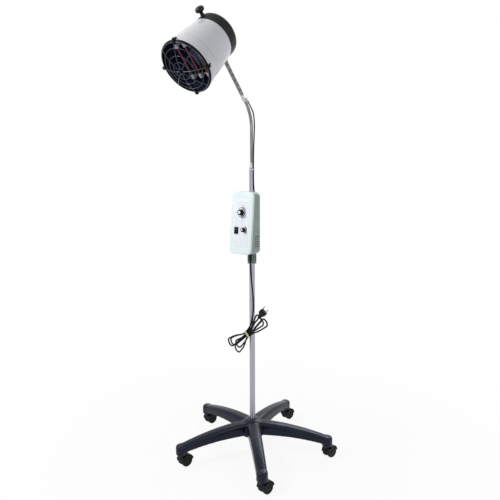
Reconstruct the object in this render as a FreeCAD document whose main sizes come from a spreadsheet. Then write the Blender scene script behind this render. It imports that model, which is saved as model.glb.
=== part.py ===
import FreeCAD, Part
import math
import os
import Sketcher
from FreeCAD import Vector

# Infrared hair color processor on a rolling five-star stand.
# Millimetres, +Z up. The origin is on the floor on the axis of the post, and the lamp faces -Y.

SIZES = {
    # five-star base and casters
    "arm_count": 5,
    "arm_reach": 300.0,
    "first_arm_angle": 45.5,
    "arm_root_width": 52.0,
    "arm_tip_width": 40.0,
    "arm_root_top": 128.0,
    "arm_tip_top": 89.0,
    "arm_crown": 12.0,
    "arm_root_bottom": 74.0,
    "arm_tip_bottom": 60.0,
    "arm_wall": 4.0,
    "arm_rib": 3.0,
    "arm_ribs": 4,
    "arm_edge_round": 15.0,
    "tip_radius": 21.2,
    "tip_top": 89.8,
    "tip_edge_round": 18.0,
    "base_underside": 50.0,
    "hub_radius": 36.0,
    "hub_top": 134.0,
    "hub_bottom": 68.0,
    "hub_edge_round": 7.5,
    "socket_floor": 80.0,
    "hub_screw_radius": 4.0,
    "hub_screw_head": 7.5,
    "hub_screw_head_height": 5.0,
    "caster_heading": 84.0,
    "caster_trail": 17.0,
    "wheel_radius": 23.0,
    "wheel_width": 15.5,
    "wheel_edge_round": 3.0,
    "wheel_gap": 0.3,
    "wheel_dish": 1.0,
    "web_width": 7.0,
    "web_radius": 15.5,
    "hood_gap": 1.0,
    "hood_wall": 2.2,
    "hood_line": 1.0,
    "caster_axle": 3.0,
    "axle_inset": 2.0,
    "caster_boss": 10.0,
    "boss_drop": 3.0,
    "stem_radius": 5.5,
    "stem_top": 80.0,
    "stem_bottom": 43.0,
    # telescopic post
    "lower_pole_radius": 11.0,
    "lower_pole_bore": 9.8,
    "lower_pole_top": 778.0,
    "upper_pole_radius": 9.5,
    "upper_pole_bore": 8.3,
    "upper_pole_foot": 398.0,
    "upper_pole_top": 1135.0,
    "foot_length": 14.0,
    "post_plug_height": 16.0,
    "spigot_length": 25.0,
    "collet_radius": 14.0,
    "collet_flange": 16.8,
    "collar_radius": 17.5,
    "collar_bottom": 774.0,
    "collar_height": 39.0,
    "collar_edge": 1.0,
    "collar_bevel": 1.5,
    "flange_thickness": 2.0,
    "running_gap": 0.06,
    "seat_gap": 0.3,
    # bent tube and flexible neck
    "bent_tube_radius": 6.0,
    "bent_tube_bore": 4.6,
    "reducer_height": 20.0,
    "reducer_wall": 1.6,
    "reducer_band": 5.0,
    "reducer_lip": 4.0,
    "neck_lean": 40.5,
    "neck_corner": 1334.0,
    "bend_radius": 150.0,
    "bent_tube_end": 68.0,
    "first_ball": 80.0,
    "link_pitch": 20.0,
    "link_count": 6,
    "link_radius": 7.5,
    "ball_radius": 5.2,
    "ball_gap": 0.1,
    "ball_neck": 3.2,
    "socket_lip": 3.0,
    "link_gap": 1.9,
    "link_edge": 1.0,
    "wire_bore": 1.6,
    "ferrule_radius": 8.6,
    "ferrule_grip": 12.0,
    "ferrule_shoulder": 5.0,
    "ferrule_taper": 2.0,
    "lead_boss_wall": 1.4,
    "lead_boss_length": 9.0,
    "lead_seat_depth": 5.0,
    "bell_flange": 17.5,
    "bell_lip": 1.5,
    "bell_waist": 0.6,
    "bell_swell": 3.2,
    "bell_sink": 4.0,
    # control box
    "box_width": 104.0,
    "box_bottom": 817.0,
    "box_top": 1048.0,
    "box_back": 16.0,
    "box_front_top": 53.0,
    "box_front_bottom": 75.0,
    "box_corner": 19.0,
    "box_wall": 2.5,
    "cover_depth": 9.0,
    "cover_edge_round": 3.0,
    "screw_boss": 4.5,
    "boss_inset": 15.0,
    "boss_meeting": 40.0,
    "pilot_depth": 6.0,
    "screw_radius": 1.6,
    "screw_head": 3.2,
    "screw_head_height": 1.6,
    "screw_grip": 5.0,
    "vent_count": 5,
    "vent_pitch": 9.0,
    "vent_first": 846.0,
    "vent_height": 2.6,
    "vent_length": 24.0,
    "plate_width": 76.0,
    "plate_foot": 30.0,
    "plate_height": 176.0,
    "plate_thickness": 0.8,
    "timer_across": 4.0,
    "timer_up": 156.0,
    "timer_knob_radius": 17.5,
    "timer_knob_height": 17.0,
    "power_across": 17.0,
    "power_up": 92.0,
    "power_knob_radius": 9.0,
    "power_knob_height": 13.0,
    "rocker_across": -20.0,
    "rocker_up": 88.0,
    "rocker_half_width": 6.1,
    "rocker_half_length": 9.2,
    "rocker_tilt": 7.0,
    "switch_wall": 1.4,
    "switch_flange": 3.0,
    "switch_depth": 24.0,
    "switch_rim": 1.8,
    "switch_room": 9.0,
    "rocker_sink": 2.0,
    "rocker_pin": 1.2,
    "rocker_lower_edge": 0.4,
    "rocker_keel_half": 1.5,
    "rocker_keel": 3.5,
    "rocker_end_height": 3.2,
    "rocker_crest": 4.6,
    "tab_length": 7.0,
    "tab_half_width": 3.0,
    "tab_half_thickness": 0.4,
    "tab_pitch": 6.0,
    "shaft_radius": 3.0,
    "shaft_gap": 0.5,
    "timer_half_width": 21.0,
    "timer_half_height": 20.0,
    "timer_depth": 25.0,
    "timer_shaft": 20.0,
    "timer_skirt": 3.5,
    "power_radius": 8.5,
    "power_depth": 14.0,
    "power_skirt": 1.5,
    "pointer_proud": 0.9,
    "pointer_half_width": 1.1,
    "grip_bevel": 1.2,
    "knob_cap_share": 0.5,
    "knob_cap_edge": 1.2,
    "knob_cap_height": 1.6,
    "lug_half_width": 6.0,
    "lug_root": 6.0,
    "lug_reach": 14.0,
    "lug_start": 1.0,
    "lug_thickness": 2.0,
    "board_standoff": 6.0,
    "board_thickness": 1.6,
    "board_inset": 8.0,
    "board_foot": 62.0,
    "board_height": 60.0,
    "board_leg_inset": 5.0,
    "board_leg": 3.0,
    "strip_inset": 2.0,
    "strip_width": 34.0,
    "strip_depth": 10.0,
    "strip_height": 14.0,
    "relay_across": 2.0,
    "relay_width": 18.0,
    "relay_depth": 14.0,
    "relay_foot": 4.0,
    "relay_height": 14.0,
    "clamp_half_width": 17.0,
    "clamp_half_height": 11.0,
    "clamp_back": 15.0,
    "clamp_screw_inset": 4.0,
    "clamp_screw_head": 2.0,
    "upper_clamp": 1008.0,
    "lower_clamp": 858.0,
    # lamp head, measured back from the front rim
    "rim_radius": 92.7,
    "shell_length": 151.0,
    "shell_step": 1.0,
    "shell_wall": 2.0,
    "seam_back": 39.0,
    "seam_lap": 8.0,
    "cap_radius": 77.0,
    "cap_depth": 45.0,
    "cap_wall": 3.0,
    "cap_edge": 9.0,
    "cap_vents": 12,
    "cap_vent_start": 26.0,
    "cap_vent_end": 48.0,
    "cap_vent_half_width": 1.6,
    "neck_hole_gap": 2.0,
    "neck_back": 170.0,
    "neck_to_head_axis": 303.7,
    "rim_thickness": 4.5,
    "rim_proud": 0.6,
    "rim_bevel": 1.6,
    "rim_spigot": 3.0,
    "reflector_hold": 1.0,
    "guard_wire": 1.2,
    "guard_ring_extra": 0.3,
    "guard_ring": 88.0,
    "guard_dome": 24.0,
    "guard_lead": 6.3,
    "guard_spokes": 8,
    "guard_turn": 7.0,
    "guard_hub": 9.0,
    "clip_count": 4,
    "clip_half_width": 4.5,
    "clip_thickness": 3.2,
    "clip_foot": 9.0,
    "clip_bridge": 5.0,
    "clip_head": 4.2,
    "reflector_rim": 86.0,
    "reflector_depth": 118.0,
    "reflector_wall": 1.2,
    "tube_pitch": 36.0,
    "tube_back": 38.0,
    "tube_radius": 5.0,
    "tube_half_length": 52.0,
    "tube_count": 3,
    "tube_seat": 4.0,
    "foot_half_width": 4.0,
    "foot_length_along": 8.0,
    "holder_radius": 7.0,
    "holder_length": 15.0,
    "holder_foot": 9.0,
    "rail_thickness": 2.0,
    "rail_width": 9.0,
    "deck_back": 128.0,
    "deck_thickness": 2.0,
    "terminal_half_width": 20.0,
    "terminal_half_height": 8.0,
    "terminal_depth": 12.0,
    "rail_end": 5.0,
    "post_radius": 3.0,
    "handle_stem": 6.5,
    "stud_radius": 2.6,
    "stud_inside": 5.0,
    "nut_wall": 3.0,
    "nut_height": 3.5,
    "nut_gap": 1.2,
    "handle_sink": 4.0,
    "handle_length": 16.0,
    "handle_knob": 16.0,
    "handle_flange": 2.5,
    "handle_flange_height": 1.5,
    "handle_waist_start": 4.0,
    "handle_flare": 2.0,
    # leads
    "lead_radius": 2.4,
    "lead_across": 11.4,
    "lead_forward": 3.7,
    "lead_aside": 9.0,
    "lead_drop": 34.0,
    "lead_tie_height": 4.0,
    "lead_tie_drop": 7.0,
    "lead_tie_gap": 0.3,
    "lead_lock_half_width": 2.5,
    "lead_lock_depth": 4.0,
    "lead_lock_proud": 0.5,
    "cord_radius": 3.0,
    "cord_across": 14.0,
    "cord_forward": 27.0,
    "relief_length": 36.0,
    "relief_root": 5.6,
    "relief_tip": 3.8,
    "relief_wall": 1.4,
    "relief_flange": 3.0,
    "arc_share": 0.45,
    "hank_forward": 29.5,
    "hank_across": 3.0,
    "hank_height": 498.0,
    "hank_slope": 40.0,
    "hank_half_length": 98.0,
    "hank_half_width": 30.0,
    "hank_waist": 13.0,
    "hank_thickness": 20.0,
    "tie_width": 8.0,
    "tie_thickness": 1.0,
    "plug_slope": 51.0,
    "plug_length": 38.0,
    "plug_half_width": 13.0,
    "plug_half_depth": 7.5,
    "plug_relief": 14.0,
    "plug_shoulder": 5.0,
    "plug_tail_wall": 0.8,
    "plug_neck_wall": 2.0,
    "pin_seat": 8.0,
    "pin_radius": 2.0,
    "pin_length": 19.0,
    "pin_half_pitch": 9.5,
}

doc = FreeCAD.newDocument("HairProcessor")
sheet = doc.addObject("Spreadsheet::Sheet", "Sizes")
for row, (alias, number) in enumerate(SIZES.items(), start=1):
    sheet.set(f"A{row}", alias.replace("_", " "))
    sheet.set(f"B{row}", str(number))
    sheet.setAlias(f"B{row}", alias)
doc.recompute()


class Size:
    """A number together with the sheet expression that it comes from."""

    def __init__(self, value, text):
        self.value = float(value)
        self.text = text

    def __add__(self, other):
        return join(self, "+", other, self.value + size(other).value)

    def __radd__(self, other):
        return size(other) + self

    def __sub__(self, other):
        return join(self, "-", other, self.value - size(other).value)

    def __rsub__(self, other):
        return size(other) - self

    def __mul__(self, other):
        return join(self, "*", other, self.value * size(other).value)

    def __rmul__(self, other):
        return size(other) * self

    def __truediv__(self, other):
        return join(self, "/", other, self.value / size(other).value)

    def __neg__(self):
        return size(0) - self


def size(number):
    """A plain number as a Size, or a Size unchanged."""
    if isinstance(number, Size):
        return number
    return Size(number, f"({float(number):.6f})")


def join(left, sign, right, value):
    return Size(value, f"({left.text} {sign} {size(right).text})")


def named(alias):
    return Size(sheet.get(alias), f"Sizes.{alias}")


def tangent(angle):
    angle = size(angle)
    return Size(math.tan(math.radians(angle.value)), f"tan({angle.text} * 1 deg)")


def arctangent(ratio):
    """The angle in plain degrees whose tangent is the ratio."""
    ratio = size(ratio)
    return Size(math.degrees(math.atan(ratio.value)), f"(atan({ratio.text}) / 1 deg)")


def root(square):
    square = size(square)
    return Size(math.sqrt(square.value), f"sqrt({square.text})")


S = {alias: named(alias) for alias in SIZES}
S["shell_back_radius"] = S["cap_radius"] + S["shell_step"]

X_AXIS = (1, 0, 0)
Y_AXIS = (0, 1, 0)
Z_AXIS = (0, 0, 1)

# How far a cutting tool runs past the faces it cuts, and the reach of a tool that clears one whole side.
PAST = 1
FAR = 400


class Frame:
    """A place in space: the text of a placement expression, and the placement itself."""

    def __init__(self, text="placement(vector(0; 0; 0); rotation(vector(0; 0; 1); 0))", placement=None):
        self.text = text
        self.placement = placement or FreeCAD.Placement()

    def moved(self, x=0, y=0, z=0, axis=Z_AXIS, angle=0):
        x, y, z, angle = size(x), size(y), size(z), size(angle)
        turn = f"rotation(vector({axis[0]}; {axis[1]}; {axis[2]}); {angle.text})"
        text = f"placement(vector({x.text}; {y.text}; {z.text}); {turn})"
        rotation = FreeCAD.Rotation(Vector(*axis), angle.value)
        step = FreeCAD.Placement(Vector(x.value, y.value, z.value), rotation)
        return Frame(f"{self.text} * {text}", self.placement.multiply(step))


def put(thing, frame):
    thing.setExpression("Placement", frame.text)
    return thing


def primitive(kind, frame, **measures):
    """One Part primitive whose measures and place follow the sheet."""
    thing = doc.addObject(kind, kind.split("::")[1])
    for prop, measure in measures.items():
        thing.setExpression(prop, size(measure).text)
    return put(thing, frame)


def cylinder(frame, radius, height):
    return primitive("Part::Cylinder", frame, Radius=radius, Height=height)


def drill(frame, radius, length):
    """A cylinder that runs past both ends of a length along the frame's Z axis."""
    return cylinder(frame.moved(0, 0, -PAST), radius, length + 2 * PAST)


def sphere(frame, radius):
    return primitive("Part::Sphere", frame, Radius=radius)


def ring(frame, radius, wire, sweep=360):
    return primitive("Part::Torus", frame, Radius1=radius, Radius2=wire, Angle3=sweep)


def block(frame, x_range, y_range, z_range):
    """A box from three pairs of low and high limits in the frame."""
    low = [pair[0] for pair in (x_range, y_range, z_range)]
    span = [size(pair[1]) - size(pair[0]) for pair in (x_range, y_range, z_range)]
    return primitive("Part::Box", frame.moved(*low), Length=span[0], Width=span[1], Height=span[2])


def fused(parts):
    if len(parts) == 1:
        return parts[0]
    whole = doc.addObject("Part::MultiFuse", "Fusion")
    whole.Shapes = parts
    whole.Refine = True
    return whole


def cut(base, tools):
    result = doc.addObject("Part::Cut", "Cut")
    result.Base = base
    result.Tool = fused(tools)
    return result


def common(first, second):
    result = doc.addObject("Part::Common", "Common")
    result.Base = first
    result.Tool = second
    return result


def together(parts):
    """Separate solids kept side by side in one object."""
    group = doc.addObject("Part::Compound", "Group")
    group.Links = parts
    return group


def body_plane(body, role):
    return next(plane for plane in body.Origin.OriginFeatures if plane.Role == role)


def outline_sketch(body, role, points):
    """A closed outline of straight edges whose corners follow the sheet."""
    sketch = body.newObject("Sketcher::SketchObject", "Outline")
    sketch.AttachmentSupport = (body_plane(body, role), [""])
    sketch.MapMode = "FlatFace"
    corners = [(size(x), size(y)) for x, y in points]
    flat = [Vector(x.value, y.value, 0) for x, y in corners]
    count = len(flat)
    for index in range(count):
        sketch.addGeometry(Part.LineSegment(flat[index], flat[(index + 1) % count]), False)
    for index in range(count):
        sketch.addConstraint(Sketcher.Constraint("Coincident", index, 2, (index + 1) % count, 1))
    for index, corner in enumerate(corners):
        for kind, measure in zip(("DistanceX", "DistanceY"), corner):
            rule = sketch.addConstraint(Sketcher.Constraint(kind, -1, 1, index, 1, measure.value))
            sketch.setExpression(f"Constraints[{rule}]", measure.text)
    return sketch


def turned(frame, points):
    """A body of revolution about the frame's Z axis from (radius, height) corners."""
    body = doc.addObject("PartDesign::Body", "Turned")
    sketch = outline_sketch(body, "XZ_Plane", points)
    revolution = body.newObject("PartDesign::Revolution", "Revolution")
    revolution.Profile = sketch
    revolution.ReferenceAxis = (sketch, ["V_Axis"])
    revolution.Angle = 360
    return put(body, frame)


def padded(frame, role, points, length):
    """A body with an outline on one of its planes, padded half the length to each side."""
    body = doc.addObject("PartDesign::Body", "Padded")
    sketch = outline_sketch(body, role, points)
    pad = body.newObject("PartDesign::Pad", "Pad")
    pad.Profile = sketch
    pad.setExpression("Length", size(length).text)
    pad.Midplane = True
    return put(body, frame)


def rounded_block(frame, x_range, y_range, z_range, radius):
    """A box whose four edges along Y are rounded."""
    body = doc.addObject("PartDesign::Body", "RoundedBlock")
    base = body.newObject("PartDesign::AdditiveBox", "Block")
    spans = [size(pair[1]) - size(pair[0]) for pair in (x_range, y_range, z_range)]
    for prop, span in zip(("Length", "Width", "Height"), spans):
        base.setExpression(prop, span.text)
    doc.recompute()
    along = [
        f"Edge{number}"
        for number, edge in enumerate(base.Shape.Edges, start=1)
        if edge.BoundBox.XLength + edge.BoundBox.ZLength < 1e-6
    ]
    rounding = body.newObject("PartDesign::Fillet", "Rounding")
    rounding.Base = (base, along)
    rounding.setExpression("Radius", size(radius).text)
    return put(body, frame.moved(x_range[0], y_range[0], z_range[0]))


def softened(base, radius, picked):
    """The base with the edges that the rule picks rounded."""
    doc.recompute()
    body = doc.addObject("PartDesign::Body", "Softened")
    body.BaseFeature = base
    doc.recompute()
    start = body.Group[0]
    edges = [f"Edge{n}" for n, edge in enumerate(start.Shape.Edges, start=1) if picked(edge)]
    rounding = body.newObject("PartDesign::Fillet", "Rounding")
    rounding.Base = (start, edges)
    rounding.setExpression("Radius", size(radius).text)
    return body


def shaped(shape, frame=None):
    """A Part::Feature for a form that neither bodies nor primitives give."""
    feature = doc.addObject("Part::Feature", "Shaped")
    feature.Shape = shape
    if frame:
        feature.Placement = frame.placement
    return feature


NODES = []


def sub_part(label, thing):
    thing.Label = label
    NODES.append(thing)
    return thing


WORLD = Frame()
NECK = WORLD.moved(0, 0, S["neck_corner"], X_AXIS, S["neck_lean"])
HEAD = NECK.moved(0, -S["neck_back"], S["neck_to_head_axis"], X_AXIS, -90)
FACE_RUN = S["box_front_bottom"] - S["box_front_top"]
FACE_LEAN = arctangent(FACE_RUN / (S["box_top"] - S["box_bottom"]))
FACE = WORLD.moved(0, -S["box_front_bottom"], S["box_bottom"], X_AXIS, 90 - FACE_LEAN)


# ---------------------------------------------------------------- base and casters

def arm_section(reach, half_width, top, bottom, edge_round):
    """A cross-section of an arm at one reach: flat below, upright sides, rounded upper edges."""
    side_top = top - edge_round
    shoulder = half_width - edge_round
    lean = edge_round * math.sin(math.radians(45))
    corners = {
        "low_right": (half_width, bottom),
        "right": (half_width, side_top),
        "right_arc": (shoulder + lean, side_top + lean),
        "top_right": (shoulder, top),
        "top_left": (-shoulder, top),
        "left_arc": (-shoulder - lean, side_top + lean),
        "left": (-half_width, side_top),
        "low_left": (-half_width, bottom),
    }
    at = {name: Vector(reach, y, z) for name, (y, z) in corners.items()}
    edges = [
        Part.LineSegment(at["low_right"], at["right"]).toShape(),
        Part.Arc(at["right"], at["right_arc"], at["top_right"]).toShape(),
        Part.LineSegment(at["top_right"], at["top_left"]).toShape(),
        Part.Arc(at["top_left"], at["left_arc"], at["left"]).toShape(),
        Part.LineSegment(at["left"], at["low_left"]).toShape(),
        Part.LineSegment(at["low_left"], at["low_right"]).toShape(),
    ]
    return Part.Wire(edges)


def arm_loft(start, end, inset, open_below):
    """The arm's body between two reaches, or with an inset the hollow inside it."""
    steps = 4
    reach_end = S["arm_reach"].value
    sections = []
    for step in range(steps + 1):
        reach = start + (end - start) * step / steps
        share = reach / reach_end
        crown = S["arm_crown"].value * 4 * share * (1 - share)
        top = S["arm_root_top"].value + (S["arm_tip_top"].value - S["arm_root_top"].value) * share + crown
        bottom = S["arm_root_bottom"].value + (S["arm_tip_bottom"].value - S["arm_root_bottom"].value) * share
        width = S["arm_root_width"].value + (S["arm_tip_width"].value - S["arm_root_width"].value) * share
        floor = bottom - open_below + crown
        edge_round = S["arm_edge_round"].value - inset
        sections.append(arm_section(reach, width / 2 - inset, top - inset, floor, edge_round))
    return Part.makeLoft(sections, True, False)


def arm_shape():
    """One hollow, ribbed arm along +X with its caster socket at the tip."""
    reach = S["arm_reach"].value
    wall = S["arm_wall"].value
    tip_radius = S["tip_radius"].value
    underside = S["base_underside"].value
    hollow_start = S["hub_radius"].value + wall
    hollow_end = reach - tip_radius - wall
    hollow = arm_loft(hollow_start, hollow_end, wall, wall)
    rib_count = int(S["arm_ribs"].value)
    for number in range(1, rib_count + 1):
        place = hollow_start + (hollow_end - hollow_start) * number / (rib_count + 1)
        rib = Part.makeBox(S["arm_rib"].value, S["arm_root_width"].value, S["hub_top"].value)
        rib.translate(Vector(place, -S["arm_root_width"].value / 2, 0))
        hollow = hollow.cut(rib)
    arm = arm_loft(0.0, reach, 0.0, 0.0).cut(hollow)
    tip_height = S["tip_top"].value - underside
    tip = Part.makeCylinder(tip_radius, tip_height, Vector(reach, 0, underside))
    upper_edges = [edge for edge in tip.Edges if edge.BoundBox.ZMin > underside + tip_height / 2]
    tip = tip.makeFillet(S["tip_edge_round"].value, upper_edges[:1])
    return arm.fuse(tip)


def arm_angle(index):
    """Turn about Z that takes +X to the arm with this index."""
    return S["first_arm_angle"] - 90 + index * 360 / S["arm_count"].value


def make_star_base():
    arm = arm_shape()
    hub_radius, hub_top, hub_bottom = (S[name].value for name in ("hub_radius", "hub_top", "hub_bottom"))
    hub = Part.makeCylinder(hub_radius, hub_top - hub_bottom, Vector(0, 0, hub_bottom))
    upper = [edge for edge in hub.Edges if edge.BoundBox.ZMin > hub_top - PAST]
    whole = hub.makeFillet(S["hub_edge_round"].value, upper[:1])
    for index in range(int(S["arm_count"].value)):
        turned_arm = arm.copy()
        turned_arm.rotate(Vector(), Vector(0, 0, 1), arm_angle(index).value)
        whole = whole.fuse(turned_arm)
    bores = [Part.makeCylinder(S["lower_pole_radius"].value, hub_top, Vector(0, 0, S["socket_floor"].value))]
    bores.append(Part.makeCylinder(S["hub_screw_radius"].value, hub_top, Vector(0, 0, 0)))
    for index in range(int(S["arm_count"].value)):
        centre = WORLD.moved(0, 0, 0, Z_AXIS, arm_angle(index)).moved(S["arm_reach"]).placement.Base
        depth = S["stem_top"].value - S["base_underside"].value
        foot = Vector(centre.x, centre.y, S["base_underside"].value)
        bores.append(Part.makeCylinder(S["stem_radius"].value, depth, foot))
    whole = whole.cut(bores)
    return sub_part("star_base", shaped(whole.removeSplitter()))


def caster_frame(index):
    """The frame of one caster: on the floor below its stem, +X the way the wheels trail."""
    at_tip = WORLD.moved(0, 0, 0, Z_AXIS, arm_angle(index)).moved(S["arm_reach"])
    return at_tip.moved(0, 0, 0, Z_AXIS, S["caster_heading"] - arm_angle(index))


def make_caster_stems():
    stems = []
    for index in range(int(S["arm_count"].value)):
        foot = caster_frame(index).moved(0, 0, S["stem_bottom"])
        stems.append(cylinder(foot, S["stem_radius"], S["stem_top"] - S["stem_bottom"]))
    return sub_part("caster_stems", together(stems))


def make_caster(index):
    """One twin-wheel caster: its hood with the axle boss, and the two wheels on their axle."""
    here = caster_frame(index)
    axle = here.moved(S["caster_trail"], 0, S["wheel_radius"], X_AXIS, 90)
    wheel_start = S["web_width"] / 2 + S["wheel_gap"]
    half_width = wheel_start + S["wheel_width"]
    whole_width = 2 * half_width
    inner = S["wheel_radius"] + S["hood_gap"]
    outer = inner + S["hood_wall"]
    drum = cylinder(axle.moved(0, 0, -half_width), outer, whole_width)
    upper_part = block(here, (-FAR, FAR), (-FAR, FAR), (S["wheel_radius"] + S["hood_line"], FAR))
    cover = common(drum, upper_part)
    space_width = S["wheel_gap"] + S["wheel_width"] + PAST
    wheel_spaces = [cylinder(axle.moved(0, 0, S["web_width"] / 2), inner, space_width)]
    wheel_spaces.append(cylinder(axle.moved(0, 0, -S["web_width"] / 2 - space_width), inner, space_width))
    boss_foot = S["stem_bottom"] - S["boss_drop"]
    shoulder = S["base_underside"] - S["seat_gap"]
    boss = cylinder(here.moved(0, 0, boss_foot), S["caster_boss"], shoulder - boss_foot)
    boss_seat = cut(boss, [drill(axle.moved(0, 0, -half_width), inner, whole_width)])
    axle_web = cylinder(axle.moved(0, 0, -S["web_width"] / 2), S["web_radius"], S["web_width"])
    stem_bore = cylinder(here.moved(0, 0, S["stem_bottom"] - PAST), S["stem_radius"] + S["running_gap"], FAR)
    axle_bore = cylinder(axle.moved(0, 0, -half_width), S["caster_axle"] + S["running_gap"], whole_width)
    solid_cover = cut(cover, wheel_spaces)
    hood = cut(fused([solid_cover, boss_seat, axle_web]), [stem_bore, axle_bore])
    sub_part(f"caster_hood_{index + 1}", hood)

    edge = S["wheel_edge_round"]
    wheel_outline = [
        (S["caster_axle"], wheel_start),
        (S["wheel_radius"] - edge, wheel_start),
        (S["wheel_radius"], wheel_start + edge),
        (S["wheel_radius"], half_width - edge),
        (S["wheel_radius"] - edge, half_width),
        (S["caster_axle"], half_width - S["wheel_dish"]),
    ]
    near = turned(axle, wheel_outline)
    far = turned(axle.moved(0, 0, 0, X_AXIS, 180), wheel_outline)
    pin_reach = half_width - S["axle_inset"]
    pin = cylinder(axle.moved(0, 0, -pin_reach), S["caster_axle"], 2 * pin_reach)
    sub_part(f"caster_wheels_{index + 1}", together([near, far, pin]))


# ---------------------------------------------------------------- telescopic post

def tube(frame, radius, bore, length):
    return turned(frame, [(bore, 0), (radius, 0), (radius, length), (bore, length)])


def make_post():
    foot = WORLD.moved(0, 0, S["socket_floor"])
    length = S["lower_pole_top"] - S["socket_floor"]
    sub_part("lower_pole", tube(foot, S["lower_pole_radius"], S["lower_pole_bore"], length))

    screw_foot = S["hub_bottom"] - S["hub_screw_head_height"]
    plug_top = S["socket_floor"] + S["post_plug_height"]
    screw = [
        (0, screw_foot),
        (S["hub_screw_head"], screw_foot),
        (S["hub_screw_head"], S["hub_bottom"]),
        (S["hub_screw_radius"], S["hub_bottom"]),
        (S["hub_screw_radius"], S["socket_floor"]),
        (S["lower_pole_bore"], S["socket_floor"]),
        (S["lower_pole_bore"], plug_top),
        (0, plug_top),
    ]
    sub_part("hub_screw", turned(WORLD, screw))

    low = S["collar_bottom"] - S["seat_gap"]
    high = S["collar_bottom"] + S["collar_height"] + S["seat_gap"]
    collet = [
        (S["lower_pole_radius"], low - S["flange_thickness"]),
        (S["collet_flange"], low - S["flange_thickness"]),
        (S["collet_flange"], low),
        (S["collet_radius"], low),
        (S["collet_radius"], high),
        (S["collet_flange"], high),
        (S["collet_flange"], high + S["flange_thickness"]),
        (S["upper_pole_radius"] + S["running_gap"], high + S["flange_thickness"]),
        (S["upper_pole_radius"] + S["running_gap"], S["lower_pole_top"]),
        (S["lower_pole_radius"], S["lower_pole_top"]),
    ]
    sub_part("pole_collet", turned(WORLD, collet))

    collar_foot = WORLD.moved(0, 0, S["collar_bottom"])
    collar_bore = S["collet_radius"] + S["running_gap"]
    collar = turned(collar_foot, [
        (collar_bore, 0),
        (S["collar_radius"] - S["collar_edge"], 0),
        (S["collar_radius"], S["collar_bevel"]),
        (S["collar_radius"], S["collar_height"] - S["collar_bevel"]),
        (S["collar_radius"] - S["collar_edge"], S["collar_height"]),
        (collar_bore, S["collar_height"]),
    ])
    sub_part("lock_collar", collar)

    foot_radius = S["lower_pole_bore"] - S["running_gap"]
    pole_foot = turned(WORLD.moved(0, 0, S["upper_pole_foot"]), [
        (0, -S["foot_length"]),
        (foot_radius, -S["foot_length"]),
        (foot_radius, -S["running_gap"]),
        (S["upper_pole_bore"] - S["running_gap"], -S["running_gap"]),
        (S["upper_pole_bore"] - S["running_gap"], S["spigot_length"]),
        (0, S["spigot_length"]),
    ])
    sub_part("pole_foot", pole_foot)

    length = S["upper_pole_top"] - S["upper_pole_foot"]
    upper_foot = WORLD.moved(0, 0, S["upper_pole_foot"])
    sub_part("upper_pole", tube(upper_foot, S["upper_pole_radius"], S["upper_pole_bore"], length))


# ---------------------------------------------------------------- bent tube and flexible neck

def make_bent_tube():
    rim = S["bent_tube_radius"] + S["reducer_wall"]
    reducer = turned(WORLD.moved(0, 0, S["upper_pole_top"]), [
        (S["bent_tube_radius"], -S["spigot_length"]),
        (S["upper_pole_bore"], -S["spigot_length"]),
        (S["upper_pole_bore"], 0),
        (S["upper_pole_radius"], 0),
        (S["upper_pole_radius"], S["reducer_band"]),
        (rim, S["reducer_height"] - S["reducer_lip"]),
        (rim, S["reducer_height"]),
        (S["bent_tube_radius"], S["reducer_height"]),
    ])
    sub_part("pole_reducer", reducer)

    tangent_length = S["bend_radius"] * tangent(S["neck_lean"] / 2)
    bottom = S["upper_pole_top"] - S["spigot_length"]
    bend_start = S["neck_corner"] - tangent_length
    straight = WORLD.moved(0, 0, bottom)
    bend = WORLD.moved(0, -S["bend_radius"], bend_start, Z_AXIS, 90).moved(0, 0, 0, X_AXIS, 90)
    leaning = NECK.moved(0, 0, tangent_length)

    def run(radius):
        return fused([
            cylinder(straight, radius, bend_start - bottom),
            ring(bend, S["bend_radius"], radius, S["neck_lean"]),
            cylinder(leaning, radius, S["bent_tube_end"] - tangent_length),
        ])

    sub_part("bent_tube", cut(run(S["bent_tube_radius"]), [run(S["bent_tube_bore"])]))


def neck_joint(frame, centre):
    """The tool that hollows a socket about a ball centre."""
    return sphere(frame.moved(0, 0, centre), S["ball_radius"] + S["ball_gap"])


def ball_end(frame):
    """A ball at the frame's origin with its neck up to the barrel."""
    neck = cylinder(frame, S["ball_neck"], S["socket_lip"] + S["link_gap"] + PAST)
    return [sphere(frame, S["ball_radius"]), neck]


def make_ferrule():
    socket_top = S["first_ball"] + S["socket_lip"]
    grip_start = S["bent_tube_end"] - S["ferrule_grip"]
    shoulder = S["bent_tube_end"] + S["ferrule_shoulder"]
    outline = [
        (S["bent_tube_radius"], grip_start),
        (S["ferrule_radius"], grip_start),
        (S["ferrule_radius"], shoulder),
        (S["link_radius"], shoulder + S["ferrule_taper"]),
        (S["link_radius"], socket_top),
        (S["wire_bore"], socket_top),
        (S["wire_bore"], S["bent_tube_end"]),
        (S["bent_tube_radius"], S["bent_tube_end"]),
    ]
    barrel = cut(turned(NECK, outline), [neck_joint(NECK, S["first_ball"])])
    lead_place = NECK.moved(S["lead_across"], 0, grip_start)
    lead_boss = cylinder(lead_place, S["lead_radius"] + S["lead_boss_wall"], S["lead_boss_length"])
    bore = drill(NECK.moved(0, 0, grip_start), S["bent_tube_radius"], S["ferrule_grip"] - PAST)
    lead_seat = cylinder(lead_place.moved(0, 0, -PAST), S["lead_radius"], S["lead_seat_depth"] + PAST)
    sub_part("neck_ferrule", cut(fused([barrel, cut(lead_boss, [bore])]), [lead_seat]))


def ball_frame(index):
    return NECK.moved(0, 0, S["first_ball"] + index * S["link_pitch"])


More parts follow.
